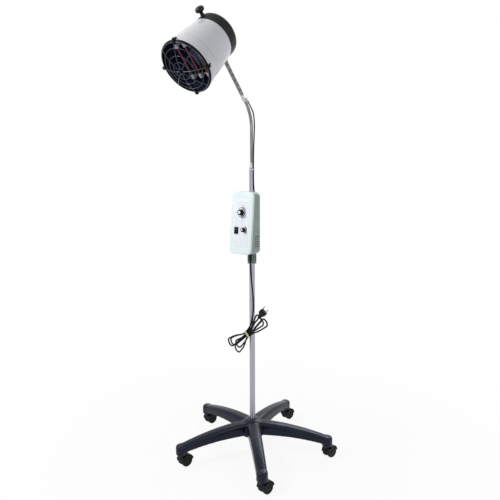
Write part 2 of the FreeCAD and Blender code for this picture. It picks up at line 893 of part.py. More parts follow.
def make_links():
    for index in range(int(S["link_count"].value)):
        here = ball_frame(index)
        barrel_start = S["socket_lip"] + S["link_gap"]
        barrel_end = S["link_pitch"] + S["socket_lip"]
        barrel = turned(here, [
            (0, barrel_start),
            (S["link_radius"] - S["link_edge"], barrel_start),
            (S["link_radius"], barrel_start + S["link_edge"]),
            (S["link_radius"], barrel_end),
            (0, barrel_end),
        ])
        wire_bore = cylinder(here.moved(0, 0, -S["link_pitch"]), S["wire_bore"], 3 * S["link_pitch"])
        socket = neck_joint(here, S["link_pitch"])
        link = cut(fused([barrel] + ball_end(here)), [socket, wire_bore])
        sub_part(f"neck_link_{index + 1}", link)


def make_bell():
    here = ball_frame(int(S["link_count"].value))
    start = S["socket_lip"] + S["link_gap"]
    last_ball = S["first_ball"] + S["link_count"] * S["link_pitch"]
    seat = S["neck_to_head_axis"] - S["cap_radius"] - last_ball
    into = seat + S["bell_sink"]
    flare_run = seat - start
    flare = turned(here, [
        (0, start),
        (S["link_radius"], start),
        (S["link_radius"] + S["bell_waist"], start + flare_run * 0.35),
        (S["link_radius"] + S["bell_swell"], start + flare_run * 0.7),
        (S["bell_flange"], seat - S["bell_lip"]),
        (S["bell_flange"], into),
        (0, into),
    ])
    wire_bore = cylinder(here.moved(0, 0, -S["link_pitch"]), S["wire_bore"], into + 2 * S["link_pitch"])
    sub_part("neck_bell", cut(fused([flare] + ball_end(here)), [wire_bore, cap_side()]))


# ---------------------------------------------------------------- control box

def face_y(height):
    """Y of the sloping front face at one height."""
    return -S["box_front_bottom"] + FACE_RUN * (height - S["box_bottom"]) / (S["box_top"] - S["box_bottom"])


def box_form(inset):
    """The rounded block that the box is cut from, or with an inset the space inside it."""
    half = S["box_width"] / 2 - inset
    depth = (-FAR, -S["box_back"] - inset)
    height = (S["box_bottom"] + inset, S["box_top"] - inset)
    return rounded_block(WORLD, (-half, half), depth, height, S["box_corner"] - inset)


def face_slab(low, high):
    """Everything between two depths below the sloping face, well past the box's edges."""
    return block(FACE, (-FAR, FAR), (-FAR, FAR), (low, high))


def boss_places():
    inset = S["boss_inset"]
    half = S["box_width"] / 2 - inset
    levels = (S["box_bottom"] + inset, S["box_top"] - inset)
    return [(side * half, level) for side in (-1, 1) for level in levels]


def make_box_shell():
    hollow = box_form(S["box_wall"])
    shell = cut(box_form(0), [hollow, face_slab(-S["cover_depth"], FAR)])
    bosses = []
    bores = []
    for across, level in boss_places():
        length = S["boss_meeting"] - S["box_back"] - S["box_wall"] / 2
        foot = WORLD.moved(across, -S["box_back"] - S["box_wall"] / 2, level, X_AXIS, 90)
        bosses.append(cylinder(foot, S["screw_boss"], length))
        bores.append(cylinder(foot.moved(0, 0, -S["box_wall"]), S["screw_radius"], length + S["box_wall"]))
    slots = []
    half = S["box_width"] / 2
    middle = -(S["box_back"] + S["box_front_top"]) / 2
    for index in range(int(S["vent_count"].value)):
        low = S["vent_first"] + index * S["vent_pitch"]
        run = (middle - S["vent_length"] / 2, middle + S["vent_length"] / 2)
        for side in (-1, 1):
            outside = side * half
            across_wall = (outside - S["box_wall"] - PAST, outside + S["box_wall"] + PAST)
            slots.append(block(WORLD, across_wall, run, (low, low + S["vent_height"])))
    cord_hole = drill(cord_exit(), S["relief_root"] - S["relief_wall"], S["box_wall"])
    lead_hole = drill(lead_entry(), S["lead_radius"], S["box_wall"])
    sub_part("box_shell", cut(fused([shell] + bosses), bores + slots + [cord_hole, lead_hole]))


def control_holes():
    """Tools for the holes of both shafts and the switch, through the cover and the label plate."""
    start = -S["cover_depth"] - PAST
    depth = S["cover_depth"] + S["plate_thickness"] + 2 * PAST
    tools = []
    for across, up in (("timer_across", "timer_up"), ("power_across", "power_up")):
        hole_place = FACE.moved(S[across], S[up], start)
        tools.append(cylinder(hole_place, S["shaft_radius"] + S["shaft_gap"], depth))
    wide, tall = switch_room()
    switch = FACE.moved(S["rocker_across"], S["rocker_up"], start)
    wide = wide + S["switch_wall"]
    tall = tall + S["switch_wall"]
    tools.append(block(switch, (-wide, wide), (-tall, tall), (0, depth)))
    return tools


def switch_room():
    """Half width and half height of the space that the rocker tilts in."""
    return S["rocker_half_width"] + S["seat_gap"], S["rocker_half_length"] + 2 * S["seat_gap"]


def make_box_cover():
    slab = common(box_form(0), face_slab(-S["cover_depth"], 0))
    hollow = common(box_form(S["box_wall"]), face_slab(-S["cover_depth"] - PAST, -S["box_wall"]))
    tray = cut(slab, [hollow])

    def on_face(edge):
        inverse = FACE.placement.inverse()
        return all(abs(inverse.multVec(vertex.Point).z) < 1e-4 for vertex in edge.Vertexes)

    soft = softened(tray, S["cover_edge_round"], on_face)
    posts = []
    bores = []
    for across, level in boss_places():
        foot = WORLD.moved(across, -S["boss_meeting"], level, X_AXIS, 90)
        length = -face_y(level) - S["boss_meeting"] - S["box_wall"] / 2
        posts.append(cylinder(foot, S["screw_boss"], length))
        bores.append(cylinder(foot.moved(0, 0, -PAST), S["screw_radius"], S["pilot_depth"] + PAST))
    sub_part("box_cover", cut(fused([soft] + posts), bores + control_holes()))


def make_label_plate():
    half = S["plate_width"] / 2
    run = (S["plate_foot"], S["plate_foot"] + S["plate_height"])
    plate = block(FACE, (-half, half), run, (0, S["plate_thickness"]))
    sub_part("label_plate", cut(plate, control_holes()))


def knob(frame, radius, height, shaft_depth, skirt):
    """A grip with a skirt, a pointer ridge and its shaft down to a depth below the face."""
    lift = S["plate_thickness"] + S["seat_gap"]
    bevel = S["grip_bevel"]
    grip = turned(frame.moved(0, 0, lift), [
        (0, 0),
        (radius, 0),
        (radius, skirt),
        (radius * 0.78, skirt + bevel),
        (radius * 0.7, height - bevel),
        (radius * 0.62, height),
        (0, height),
    ])
    half_pointer = S["pointer_half_width"]
    rise = (lift + S["pointer_proud"], lift + height + S["pointer_proud"])
    pointer = block(frame, (-half_pointer, half_pointer), (radius * 0.2, radius * 0.86), rise)
    shaft = cylinder(frame.moved(0, 0, -shaft_depth), S["shaft_radius"], shaft_depth + lift + skirt)
    return fused([grip, pointer, shaft])


def make_controls():
    timer = FACE.moved(S["timer_across"], S["timer_up"], 0)
    power = FACE.moved(S["power_across"], S["power_up"], 0)
    timer_grip = (S["timer_knob_radius"], S["timer_knob_height"], S["timer_shaft"], S["timer_skirt"])
    sub_part("timer_knob", knob(timer, *timer_grip))
    cap_foot = S["plate_thickness"] + S["seat_gap"] + S["timer_knob_height"] + S["pointer_proud"]
    cap_radius = S["timer_knob_radius"] * S["knob_cap_share"]
    sub_part("timer_knob_cap", turned(timer.moved(0, 0, cap_foot), [
        (0, 0),
        (cap_radius, 0),
        (cap_radius * 0.93, S["knob_cap_edge"]),
        (0, S["knob_cap_height"]),
    ]))
    power_grip = (S["power_knob_radius"], S["power_knob_height"], S["power_depth"], S["power_skirt"])
    sub_part("power_knob", knob(power, *power_grip))

    running_bore = S["shaft_radius"] + S["running_gap"]
    seat = -S["box_wall"]
    half_width = S["timer_half_width"]
    half_height = S["timer_half_height"]
    case_levels = (seat - S["timer_depth"], seat)
    case = block(timer, (-half_width, half_width), (-half_height, half_height), case_levels)
    shaft_end = -S["timer_shaft"] - S["shaft_gap"]
    shaft_room = cylinder(timer.moved(0, 0, shaft_end), running_bore, -shaft_end)
    sub_part("timer_unit", cut(case, [shaft_room]))

    can = cylinder(power.moved(0, 0, seat - S["power_depth"]), S["power_radius"], S["power_depth"])
    lug_start = seat - S["power_depth"] + S["lug_start"]
    lug_width = (-S["lug_half_width"], S["lug_half_width"])
    lug_run = (-S["lug_reach"], -S["lug_root"])
    terminals = block(power, lug_width, lug_run, (lug_start, lug_start + S["lug_thickness"]))
    room_end = -S["power_depth"] - S["shaft_gap"]
    power_room = cylinder(power.moved(0, 0, room_end), running_bore, -room_end)
    sub_part("power_control", cut(fused([can, terminals]), [power_room]))
    make_switch()


def make_switch():
    """The rocker switch: a flanged case through the cover, and the rocker on its pin."""
    switch = FACE.moved(S["rocker_across"], S["rocker_up"], S["plate_thickness"])
    room_width, room_length = switch_room()
    case_width = room_width + S["switch_wall"]
    case_length = room_length + S["switch_wall"]
    flange_width = case_width + S["switch_flange"] / 2
    flange_length = case_length + S["switch_flange"] / 2
    rim = S["switch_rim"]
    flange = block(switch, (-flange_width, flange_width), (-flange_length, flange_length), (0, rim))
    case_levels = (-S["switch_depth"], rim / 2)
    case = block(switch, (-case_width, case_width), (-case_length, case_length), case_levels)
    room_levels = (-S["switch_room"], rim + PAST)
    room = block(switch, (-room_width, room_width), (-room_length, room_length), room_levels)
    pivot = switch.moved(-case_width, 0, -S["rocker_sink"], Y_AXIS, 90)
    pin_bore = drill(pivot, S["rocker_pin"] + S["running_gap"], 2 * case_width)
    tab_levels = (-S["switch_depth"] - S["tab_length"], -S["switch_depth"])
    tab_width = (-S["tab_half_width"], S["tab_half_width"])
    thin = S["tab_half_thickness"]
    tabs = []
    for middle in (-S["tab_pitch"], size(0), S["tab_pitch"]):
        tabs.append(block(switch, tab_width, (middle - thin, middle + thin), tab_levels))
    sub_part("switch_case", cut(fused([flange, case] + tabs), [room, pin_bore]))

    half = S["rocker_half_length"]
    tilted = switch.moved(0, 0, -S["rocker_sink"], X_AXIS, S["rocker_tilt"])
    rocker = padded(tilted, "YZ_Plane", [
        (-half, S["rocker_lower_edge"]),
        (-S["rocker_keel_half"], -S["rocker_keel"]),
        (S["rocker_keel_half"], -S["rocker_keel"]),
        (half, S["rocker_lower_edge"]),
        (half, S["rocker_end_height"]),
        (0, S["rocker_crest"]),
        (-half, S["rocker_end_height"]),
    ], 2 * S["rocker_half_width"])
    pin = cylinder(tilted.moved(-case_width, 0, 0, Y_AXIS, 90), S["rocker_pin"], 2 * case_width)
    sub_part("rocker", fused([rocker, pin]))


def make_board():
    board_back = -S["box_back"] - S["box_wall"] - S["board_standoff"]
    board_front = board_back - S["board_thickness"]
    half = S["box_width"] / 2 - S["box_wall"] - S["board_inset"]
    foot = S["box_bottom"] + S["board_foot"]
    top = foot + S["board_height"]
    board = block(WORLD, (-half, half), (board_front, board_back), (foot, top))
    inset = S["board_leg_inset"]
    legs = []
    for across in (-half + inset, half - inset):
        for level in (foot + inset, top - inset):
            leg_place = WORLD.moved(across, board_back, level, X_AXIS, -90)
            legs.append(cylinder(leg_place, S["board_leg"], S["board_standoff"]))
    strip_start = -half + S["strip_inset"]
    strip_foot = foot + S["strip_inset"]
    strip_run = (strip_start, strip_start + S["strip_width"])
    strip_levels = (strip_foot, strip_foot + S["strip_height"])
    strip = block(WORLD, strip_run, (board_front - S["strip_depth"], board_front), strip_levels)
    relay_foot = foot + S["relay_foot"]
    relay_run = (S["relay_across"], S["relay_across"] + S["relay_width"])
    relay_levels = (relay_foot, relay_foot + S["relay_height"])
    relay = block(WORLD, relay_run, (board_front - S["relay_depth"], board_front), relay_levels)
    sub_part("control_board", fused([board, strip, relay] + legs))


def make_clamps():
    clamps = []
    screws = []
    half = S["clamp_half_width"]
    tall = S["clamp_half_height"]
    for level in (S["upper_clamp"], S["lower_clamp"]):
        saddle = block(WORLD, (-half, half), (-S["box_back"], S["clamp_back"]), (level - tall, level + tall))
        holes = [drill(WORLD.moved(0, 0, level - tall), S["upper_pole_radius"], 2 * tall)]
        for side in (-1, 1):
            across = side * (half - S["clamp_screw_inset"])
            shank_start = WORLD.moved(across, S["clamp_back"], level, X_AXIS, 90)
            shank_length = S["clamp_back"] + S["box_back"]
            holes.append(drill(shank_start, S["screw_radius"], shank_length))
            shank = cylinder(shank_start, S["screw_radius"], shank_length)
            head_place = shank_start.moved(0, 0, -S["clamp_screw_head"])
            head = cylinder(head_place, S["screw_head"], S["clamp_screw_head"])
            screws.append(fused([shank, head]))
        clamps.append(cut(saddle, holes))
    sub_part("post_clamps", together(clamps))
    for across, level in boss_places():
        start = WORLD.moved(across, -S["box_back"], level, X_AXIS, 90)
        shank = cylinder(start, S["screw_radius"], S["boss_meeting"] - S["box_back"] + S["screw_grip"])
        head_place = start.moved(0, 0, -S["screw_head_height"])
        head = cylinder(head_place, S["screw_head"], S["screw_head_height"])
        screws.append(fused([shank, head]))
    sub_part("box_screws", together(screws))


# ---------------------------------------------------------------- lamp head

def shell_radius(back):
    """Outer radius of the conical shell at a distance behind the front rim."""
    return S["rim_radius"] - (S["rim_radius"] - S["shell_back_radius"]) * back / S["shell_length"]


def rim_radius():
    """Outer radius of the rim ring, a little proud of the shell's front edge."""
    return S["rim_radius"] + S["rim_proud"]


def cap_side():
    """The rear cap's round side as a solid, past both ends of the cap, to seat pieces against."""
    room = S["cap_depth"]
    return cylinder(HEAD.moved(0, 0, S["shell_length"] - room), S["cap_radius"], 3 * room)


def make_lamp_shell():
    wall = S["shell_wall"]
    seam = S["seam_back"]
    end = S["shell_length"]
    sub_part("lamp_shell", turned(HEAD, [
        (shell_radius(seam) - wall, seam),
        (shell_radius(seam), seam),
        (shell_radius(end), end),
        (shell_radius(end) - wall, end),
    ]))
    lap = seam + S["seam_lap"]
    step_start = seam - S["seam_lap"]
    step_end = step_start + wall
    sub_part("front_bezel", turned(HEAD, [
        (shell_radius(0) - wall, 0),
        (shell_radius(0), 0),
        (shell_radius(seam), seam),
        (shell_radius(seam) - wall, seam),
        (shell_radius(lap) - wall, lap),
        (shell_radius(lap) - 2 * wall, lap),
        (shell_radius(step_end) - 2 * wall, step_end),
        (shell_radius(step_start) - wall, step_start),
    ]))
    thick = S["rim_thickness"]
    bevel = S["rim_bevel"]
    spigot = S["rim_spigot"]
    inside = S["reflector_rim"] - S["reflector_hold"]
    sub_part("rim_ring", turned(HEAD, [
        (inside, -thick),
        (rim_radius() - bevel, -thick),
        (rim_radius(), -thick + bevel),
        (rim_radius(), 0),
        (shell_radius(0) - wall, 0),
        (shell_radius(spigot) - wall, spigot),
        (inside, spigot),
    ]))


def make_rear_cap():
    start = S["shell_length"]
    end = start + S["cap_depth"]
    edge = S["cap_edge"]
    wall = S["cap_wall"]
    spigot = S["shell_back_radius"] - S["shell_wall"]
    lap = start - S["seam_lap"]
    cap = turned(HEAD, [
        (spigot - wall, lap),
        (spigot, lap),
        (spigot, start),
        (S["cap_radius"], start),
        (S["cap_radius"], end - edge),
        (S["cap_radius"] - edge * 0.3, end - edge * 0.3),
        (S["cap_radius"] - edge, end),
        (0, end),
        (0, end - wall),
        (S["cap_radius"] - edge - wall * 0.3, end - wall),
        (S["cap_radius"] - wall, end - edge),
        (spigot - wall, start + wall),
    ])
    wall_start = S["cap_radius"] - 2 * wall
    to_neck = HEAD.moved(0, 0, S["neck_back"], X_AXIS, -90).moved(0, 0, wall_start)
    to_handle = HEAD.moved(0, 0, S["neck_back"], X_AXIS, 90).moved(0, 0, wall_start)
    holes = [drill(to_neck, S["wire_bore"] + S["neck_hole_gap"], 2 * wall)]
    holes.append(drill(to_handle, S["stud_radius"], 2 * wall))
    vent_half = S["cap_vent_half_width"]
    vent_run = (S["cap_vent_start"], S["cap_vent_end"])
    count = int(S["cap_vents"].value)
    for index in range(count):
        spoke = HEAD.moved(0, 0, 0, Z_AXIS, index * 360 / count)
        holes.append(block(spoke, vent_run, (-vent_half, vent_half), (end - wall - PAST, end + PAST)))
    sub_part("rear_cap", cut(cap, holes))


def make_handle():
    """The aiming handle on top of the cap: a stem, a mushroom grip and its stud through the cap."""
    here = HEAD.moved(0, 0, S["neck_back"], X_AXIS, 90)
    seat = S["cap_radius"]
    foot = seat - S["handle_sink"]
    stem_top = seat + S["handle_length"]
    grip = S["handle_knob"]
    flange = S["handle_stem"] + S["handle_flange"]
    grip_shares = [(0.8, 0), (1, 0.25), (1, 0.56), (0.82, 0.81), (0.45, 0.97), (0, 1.03)]
    outline = [
        (0, foot),
        (flange, foot),
        (flange, seat + S["handle_flange_height"]),
        (S["handle_stem"], seat + S["handle_waist_start"]),
        (S["handle_stem"], stem_top - S["handle_flare"]),
    ]
    outline += [(grip * radius, stem_top + grip * rise) for radius, rise in grip_shares]
    inside = seat - S["cap_wall"]
    stud_foot = inside - S["stud_inside"]
    stud = cylinder(here.moved(0, 0, stud_foot), S["stud_radius"], seat + S["handle_sink"] - stud_foot)
    nut_foot = inside - S["nut_height"] - S["nut_gap"]
    nut = cylinder(here.moved(0, 0, nut_foot), S["stud_radius"] + S["nut_wall"], S["nut_height"])
    sub_part("aiming_handle", fused([cut(turned(here, outline), [cap_side()]), stud, nut]))


def guard_sphere():
    """Radius and centre depth of the sphere that the domed guard's spokes lie on."""
    radius = (S["guard_ring"] * S["guard_ring"] + S["guard_dome"] * S["guard_dome"]) / (2 * S["guard_dome"])
    centre = radius - S["guard_dome"] - S["guard_lead"]
    return radius, centre


def guard_spoke(turn):
    """One bowed wire from the hub ring to its weld on the outer ring, at a turn about the head's axis."""
    radius, centre = guard_sphere()
    ring_side = S["guard_wire"] + S["guard_ring_extra"] + S["running_gap"]
    outer_angle = arctangent(S["guard_ring"] / (radius - S["guard_dome"])) - arctangent(ring_side / radius)
    inner_angle = arctangent(S["guard_hub"] / root(radius * radius - S["guard_hub"] * S["guard_hub"]))
    upright = HEAD.moved(0, 0, centre, Z_AXIS, turn).moved(0, 0, 0, X_AXIS, 90)
    start = upright.moved(0, 0, 0, Z_AXIS, inner_angle - 90)
    return ring(start, radius, S["guard_wire"], outer_angle - inner_angle)


def outer_guard_ring():
    wire = S["guard_wire"] + S["guard_ring_extra"]
    return ring(HEAD.moved(0, 0, -S["guard_lead"]), S["guard_ring"], wire)


def make_guard():
    """The domed guard: a heavy outer ring, bowed spokes and lighter rings welded behind them."""
    radius, centre = guard_sphere()
    wires = [outer_guard_ring()]
    inner_rings = [S["guard_ring"] * share for share in (0.34, 0.57, 0.82)]
    behind_spokes = 1 - (2 * S["guard_wire"] + S["running_gap"]) / radius
    for reach in [S["guard_hub"] + S["guard_wire"]] + inner_rings:
        depth = root(radius * radius - reach * reach) * behind_spokes
        wires.append(ring(HEAD.moved(0, 0, centre - depth), reach * behind_spokes, S["guard_wire"]))
    count = int(S["guard_spokes"].value)
    for index in range(count):
        wires.append(guard_spoke(S["guard_turn"] + index * 360 / count))
    sub_part("wire_guard", together(wires))


def make_clips():
    """Black clips that hook the guard's outer ring and screw to the rim."""
    clips = []
    count = int(S["clip_count"].value)
    half = S["clip_half_width"]
    inside = rim_radius()
    outside = inside + S["clip_thickness"]
    front = -S["rim_thickness"]
    for index in range(count):
        turn = S["guard_turn"] + index * 360 / count
        spoke = HEAD.moved(0, 0, 0, Z_AXIS, turn)
        foot_run = (inside - S["clip_thickness"], outside)
        foot = block(spoke, foot_run, (-half, half), (-S["guard_lead"], S["clip_foot"]))
        bridge_run = (S["guard_ring"] - half, outside)
        bridge = block(spoke, bridge_run, (-half, half), (front - S["clip_bridge"], front + PAST))
        head = sphere(spoke.moved(outside, 0, -S["clip_thickness"]), S["clip_head"])
        arm = fused([foot, bridge, head])
        for tool in (outer_guard_ring(), guard_spoke(turn), shell_body()):
            arm = cut(arm, [tool])
        clips.append(arm)
    sub_part("guard_clips", together(clips))


def shell_body():
    """The solid cone of the shell's outside and the rim, used to seat pieces on it."""
    return turned(HEAD, [
        (0, -S["rim_thickness"]),
        (rim_radius(), -S["rim_thickness"]),
        (rim_radius(), 0),
        (shell_radius(0), 0),
        (shell_radius(S["seam_back"]), S["seam_back"]),
        (0, S["seam_back"]),
    ])


def reflector_points():
    """Radius and depth of the reflector's inner surface, from the rim to the middle."""
    rim = S["reflector_rim"]
    depth = S["reflector_depth"]
    shares = [(1, 0.02), (0.955, 0.2), (0.9, 0.36), (0.8, 0.55)]
    shares += [(0.66, 0.73), (0.48, 0.88), (0.26, 0.97), (0, 1)]
    return [(rim * radius, depth * back) for radius, back in shares]


def make_reflector():
    inner = reflector_points()
    wall = S["reflector_wall"]
    edge = S["reflector_rim"] - S["reflector_hold"]
    lip = [(edge, inner[0][1] + wall)]
    outer = [(radius + wall * 0.5, back + wall) for radius, back in reversed(inner[1:-1])]
    bottom = [(0, S["reflector_depth"] + wall)]
    bowl = turned(HEAD, [(edge - wall, inner[0][1])] + inner[1:] + bottom + outer + lip)
    holes = []
    for x, y in post_places():
        holes.append(cylinder(HEAD.moved(x, y, S["tube_back"]), S["post_radius"], S["deck_back"]))
    sub_part("reflector", cut(bowl, holes))


def holder_middle():
    """How far the middle of a holder's foot, its rail and its posts lie from the head's axis."""
    return S["tube_half_length"] - S["tube_seat"] + S["holder_length"] * 0.6


def post_places():
    across = S["tube_pitch"] / 2
    return [(side * across, end * holder_middle()) for side in (-1, 1) for end in (-1, 1)]


def tube_places():
    count = int(S["tube_count"].value)
    return [S["tube_pitch"] * (index - (count - 1) / 2) for index in range(count)]


def make_lamp_tubes():
    tubes = []
    holders = []
    mouth = S["tube_half_length"] - S["tube_seat"]
    half = S["foot_half_width"]
    foot_levels = (S["tube_back"], S["tube_back"] + S["holder_foot"])
    for x in tube_places():
        start = HEAD.moved(x, -S["tube_half_length"], S["tube_back"], X_AXIS, -90)
        tubes.append(cylinder(start, S["tube_radius"], 2 * S["tube_half_length"]))
        for side in (-1, 1):
            end = HEAD.moved(x, side * mouth, S["tube_back"], X_AXIS, -90 * side)
            sleeve = cylinder(end, S["holder_radius"], S["holder_length"])
            middle = side * holder_middle()
            reach = (middle - S["foot_length_along"] / 2, middle + S["foot_length_along"] / 2)
            foot = block(HEAD, (x - half, x + half), reach, foot_levels)
            bore = cylinder(end.moved(0, 0, -PAST), S["tube_radius"], S["tube_seat"] + PAST)
            holders.append(cut(fused([sleeve, foot]), [bore]))
    sub_part("lamp_tubes", together(tubes))
    sub_part("tube_holders", together(holders))


def make_deck():
    """The deck plate behind the reflector, and the two rails on its posts that carry the holders."""
    deck_back = S["deck_back"] + S["deck_thickness"]
    deck_radius = shell_radius(deck_back) - S["shell_wall"]
    deck = cylinder(HEAD.moved(0, 0, S["deck_back"]), deck_radius, S["deck_thickness"])
    rail_back = S["tube_back"] + S["holder_foot"]
    rail_levels = (rail_back, rail_back + S["rail_thickness"])
    half_run = S["tube_pitch"] + S["rail_end"]
    parts = [deck]
    for side in (-1, 1):
        middle = side * holder_middle()
        width = (middle - S["rail_width"] / 2, middle + S["rail_width"] / 2)
        parts.append(block(HEAD, (-half_run, half_run), width, rail_levels))
    for x, y in post_places():
        post_length = S["deck_back"] + S["deck_thickness"] / 2 - rail_back
        parts.append(cylinder(HEAD.moved(x, y, rail_back), S["post_radius"], post_length))
    wide = S["terminal_half_width"]
    tall = S["terminal_half_height"]
    terminal_levels = (deck_back - S["deck_thickness"] / 2, deck_back + S["terminal_depth"])
    terminal = block(HEAD, (-wide, wide), (-tall, tall), terminal_levels)
    sub_part("deck_plate", fused(parts + [terminal]))


# ---------------------------------------------------------------- leads and cord

# The corners that the hanging cord passes on its way from the box down to the hank.
CORD_BENDS = [
    (14, -27, 761),
    (17, -26, 720),
    (22, -25.5, 680),
    (28, -26.5, 638),
    (30.5, -28.5, 598),
]

def route(points, section_radius, label):
    """A round lead along straight runs joined by tangent arcs."""
    edges = []
    radii = []
    start = points[0]
    for before, corner, after in zip(points, points[1:], points[2:]):
        way_in = (corner - before).normalize()
        way_out = (after - corner).normalize()
        turn = way_in.getAngle(way_out)
        trim = S["arc_share"].value * min((corner - before).Length, (after - corner).Length)
        radius = trim / math.tan(turn / 2)
        arc_start = corner - way_in * trim
        arc_end = corner + way_out * trim
        inward = (way_out - way_in).normalize()
        arc_middle = corner + inward * (radius / math.cos(turn / 2) - radius)
        edges.append(Part.LineSegment(start, arc_start).toShape())
        edges.append(Part.Arc(arc_start, arc_middle, arc_end).toShape())
        radii.append(radius)
        start = arc_end
    edges.append(Part.LineSegment(start, points[-1]).toShape())
    path = Part.Wire(edges)
    circle = Part.Circle(points[0], points[1] - points[0], section_radius).toShape()
    pipe = path.makePipeShell([Part.Wire(circle)], True, False)
    expected = math.pi * section_radius ** 2 * path.Length
    if abs(pipe.Volume / expected - 1) > 0.01:
        raise ValueError(f"{label}: the sweep's volume is off")
    print(label, "length", round(path.Length, 1), "radii", [round(radius, 1) for radius in radii])
    return pipe


def lead_entry():
    """Where the lamp lead enters the box's back wall, +Z into the box."""
    across = S["lead_across"] + S["lead_aside"]
    return WORLD.moved(across, -S["box_back"], S["box_top"] - S["lead_drop"], X_AXIS, 90)


def make_lamp_lead():
    side = S["lead_across"].value
    forward = -S["lead_forward"].value
    seat_end = S["bent_tube_end"] - S["ferrule_grip"] + S["lead_seat_depth"]
    start = NECK.moved(S["lead_across"], 0, seat_end).placement.Base
    beside_bend = NECK.moved(S["lead_across"], 0, 10).placement.Base
    entry = lead_entry().placement.Base
    top = S["upper_pole_top"].value
    box_top = S["box_top"].value
    points = [
        start,
        NECK.moved(S["lead_across"], 0, 36).placement.Base,
        beside_bend + Vector(3.5, 1.0, -6.0),
        Vector(side + 4.2, -1.5, beside_bend.z - 50),
        Vector(side + 2.6, -2.5, beside_bend.z - 95),
        Vector(side + 0.6, forward, top + 50),
        Vector(side, forward, top - 2),
        Vector(side + 0.5, forward, box_top + 30),
        Vector(side + 2.0, forward + 0.4, entry.z + 40),
        Vector(side + 7.6, forward + 1.0, entry.z + 14),
        Vector(entry.x, forward - 1.5, entry.z),
        entry + Vector(0, -6, 0),
    ]
    sub_part("lamp_lead", shaped(route(points, S["lead_radius"].value, "lamp_lead")))

    tall = S["lead_tie_height"]
    post_radius = S["upper_pole_radius"]
    lead_room = S["lead_radius"] + S["lead_tie_gap"]
    tie_frame = WORLD.moved(0, 0, S["upper_pole_top"] - S["lead_tie_drop"])
    lead_spot = tie_frame.moved(S["lead_across"], -S["lead_forward"], 0)
    post_band = cylinder(tie_frame, post_radius + S["tie_thickness"], tall)
    lead_band = cylinder(lead_spot, lead_room + S["tie_thickness"], tall)
    lock_width = (-S["lead_lock_half_width"], S["lead_lock_half_width"])
    lock_levels = (-S["lead_lock_proud"], tall + S["lead_lock_proud"])
    lock = block(tie_frame, lock_width, (-post_radius - S["lead_lock_depth"], -post_radius), lock_levels)
    hollow = [drill(tie_frame, post_radius, tall), drill(lead_spot, lead_room, tall)]
    sub_part("lead_tie", cut(fused([post_band, lead_band, lock]), hollow))


def cord_exit():
    """Where the mains cord leaves the box's underside, +Z up into the box."""
    return WORLD.moved(S["cord_across"], -S["cord_forward"], S["box_bottom"])


def hank_frame():
    """The hank's own frame: +X along the bundle, +Z towards the pole."""
    middle = WORLD.moved(S["hank_across"], -S["hank_forward"], S["hank_height"])
    return middle.moved(0, 0, 0, Y_AXIS, -S["hank_slope"]).moved(0, 0, 0, X_AXIS, -90)


def make_cord():
    exit_frame = cord_exit()
    relief = turned(exit_frame, [
        (S["cord_radius"], -S["relief_length"]),
        (S["relief_tip"], -S["relief_length"]),
        (S["relief_root"], 0),
        (S["relief_root"] - S["relief_wall"], 0),
        (S["relief_root"] - S["relief_wall"], S["box_wall"]),
        (S["relief_root"], S["box_wall"]),
        (S["relief_root"], S["box_wall"] + S["relief_flange"]),
        (S["cord_radius"], S["box_wall"] + S["relief_flange"]),
    ])
    sub_part("cord_relief", relief)

    hank = hank_frame()
    long_half = S["hank_half_length"]
    wide = S["hank_half_width"]
    waist = S["hank_waist"]
    blunt = wide * 0.45
    swell_start = long_half * 0.5
    swell_end = long_half * 0.84
    outline = [
        (long_half, -blunt),
        (long_half, blunt),
        (swell_end, wide),
        (swell_start, wide),
        (S["tie_width"], waist),
        (-S["tie_width"], waist),
        (-swell_start, wide),
        (-swell_end, wide),
        (-long_half, blunt),
        (-long_half, -blunt),
        (-swell_end, -wide),
        (-swell_start, -wide),
        (-S["tie_width"], -waist),
        (S["tie_width"], -waist),
        (swell_start, -wide),
        (swell_end, -wide),
    ]
    bundle = padded(hank, "XY_Plane", outline, S["hank_thickness"])
    sub_part("cord_hank", bundle)

    half_tie = S["tie_width"] / 2
    band = waist + S["tie_thickness"]
    deep = S["hank_thickness"] / 2 + S["tie_thickness"]
    outer_band = block(hank, (-half_tie, half_tie), (-band, band), (-deep, deep))
    inner_deep = S["hank_thickness"] / 2
    inner_run = (-half_tie - PAST, half_tie + PAST)
    inner_band = block(hank, inner_run, (-waist, waist), (-inner_deep, inner_deep))
    sub_part("cord_tie", cut(outer_band, [inner_band]))

    top = exit_frame.moved(0, 0, S["box_wall"] + 2).placement.Base
    hank_entry = hank.moved(swell_start, 1 - wide, 0).placement.Base
    bends = [Vector(*place) for place in CORD_BENDS]
    path = [top] + bends + [hank_entry]
    sub_part("cord_drop", shaped(route(path, S["cord_radius"].value, "cord_drop")))
    make_plug(hank)


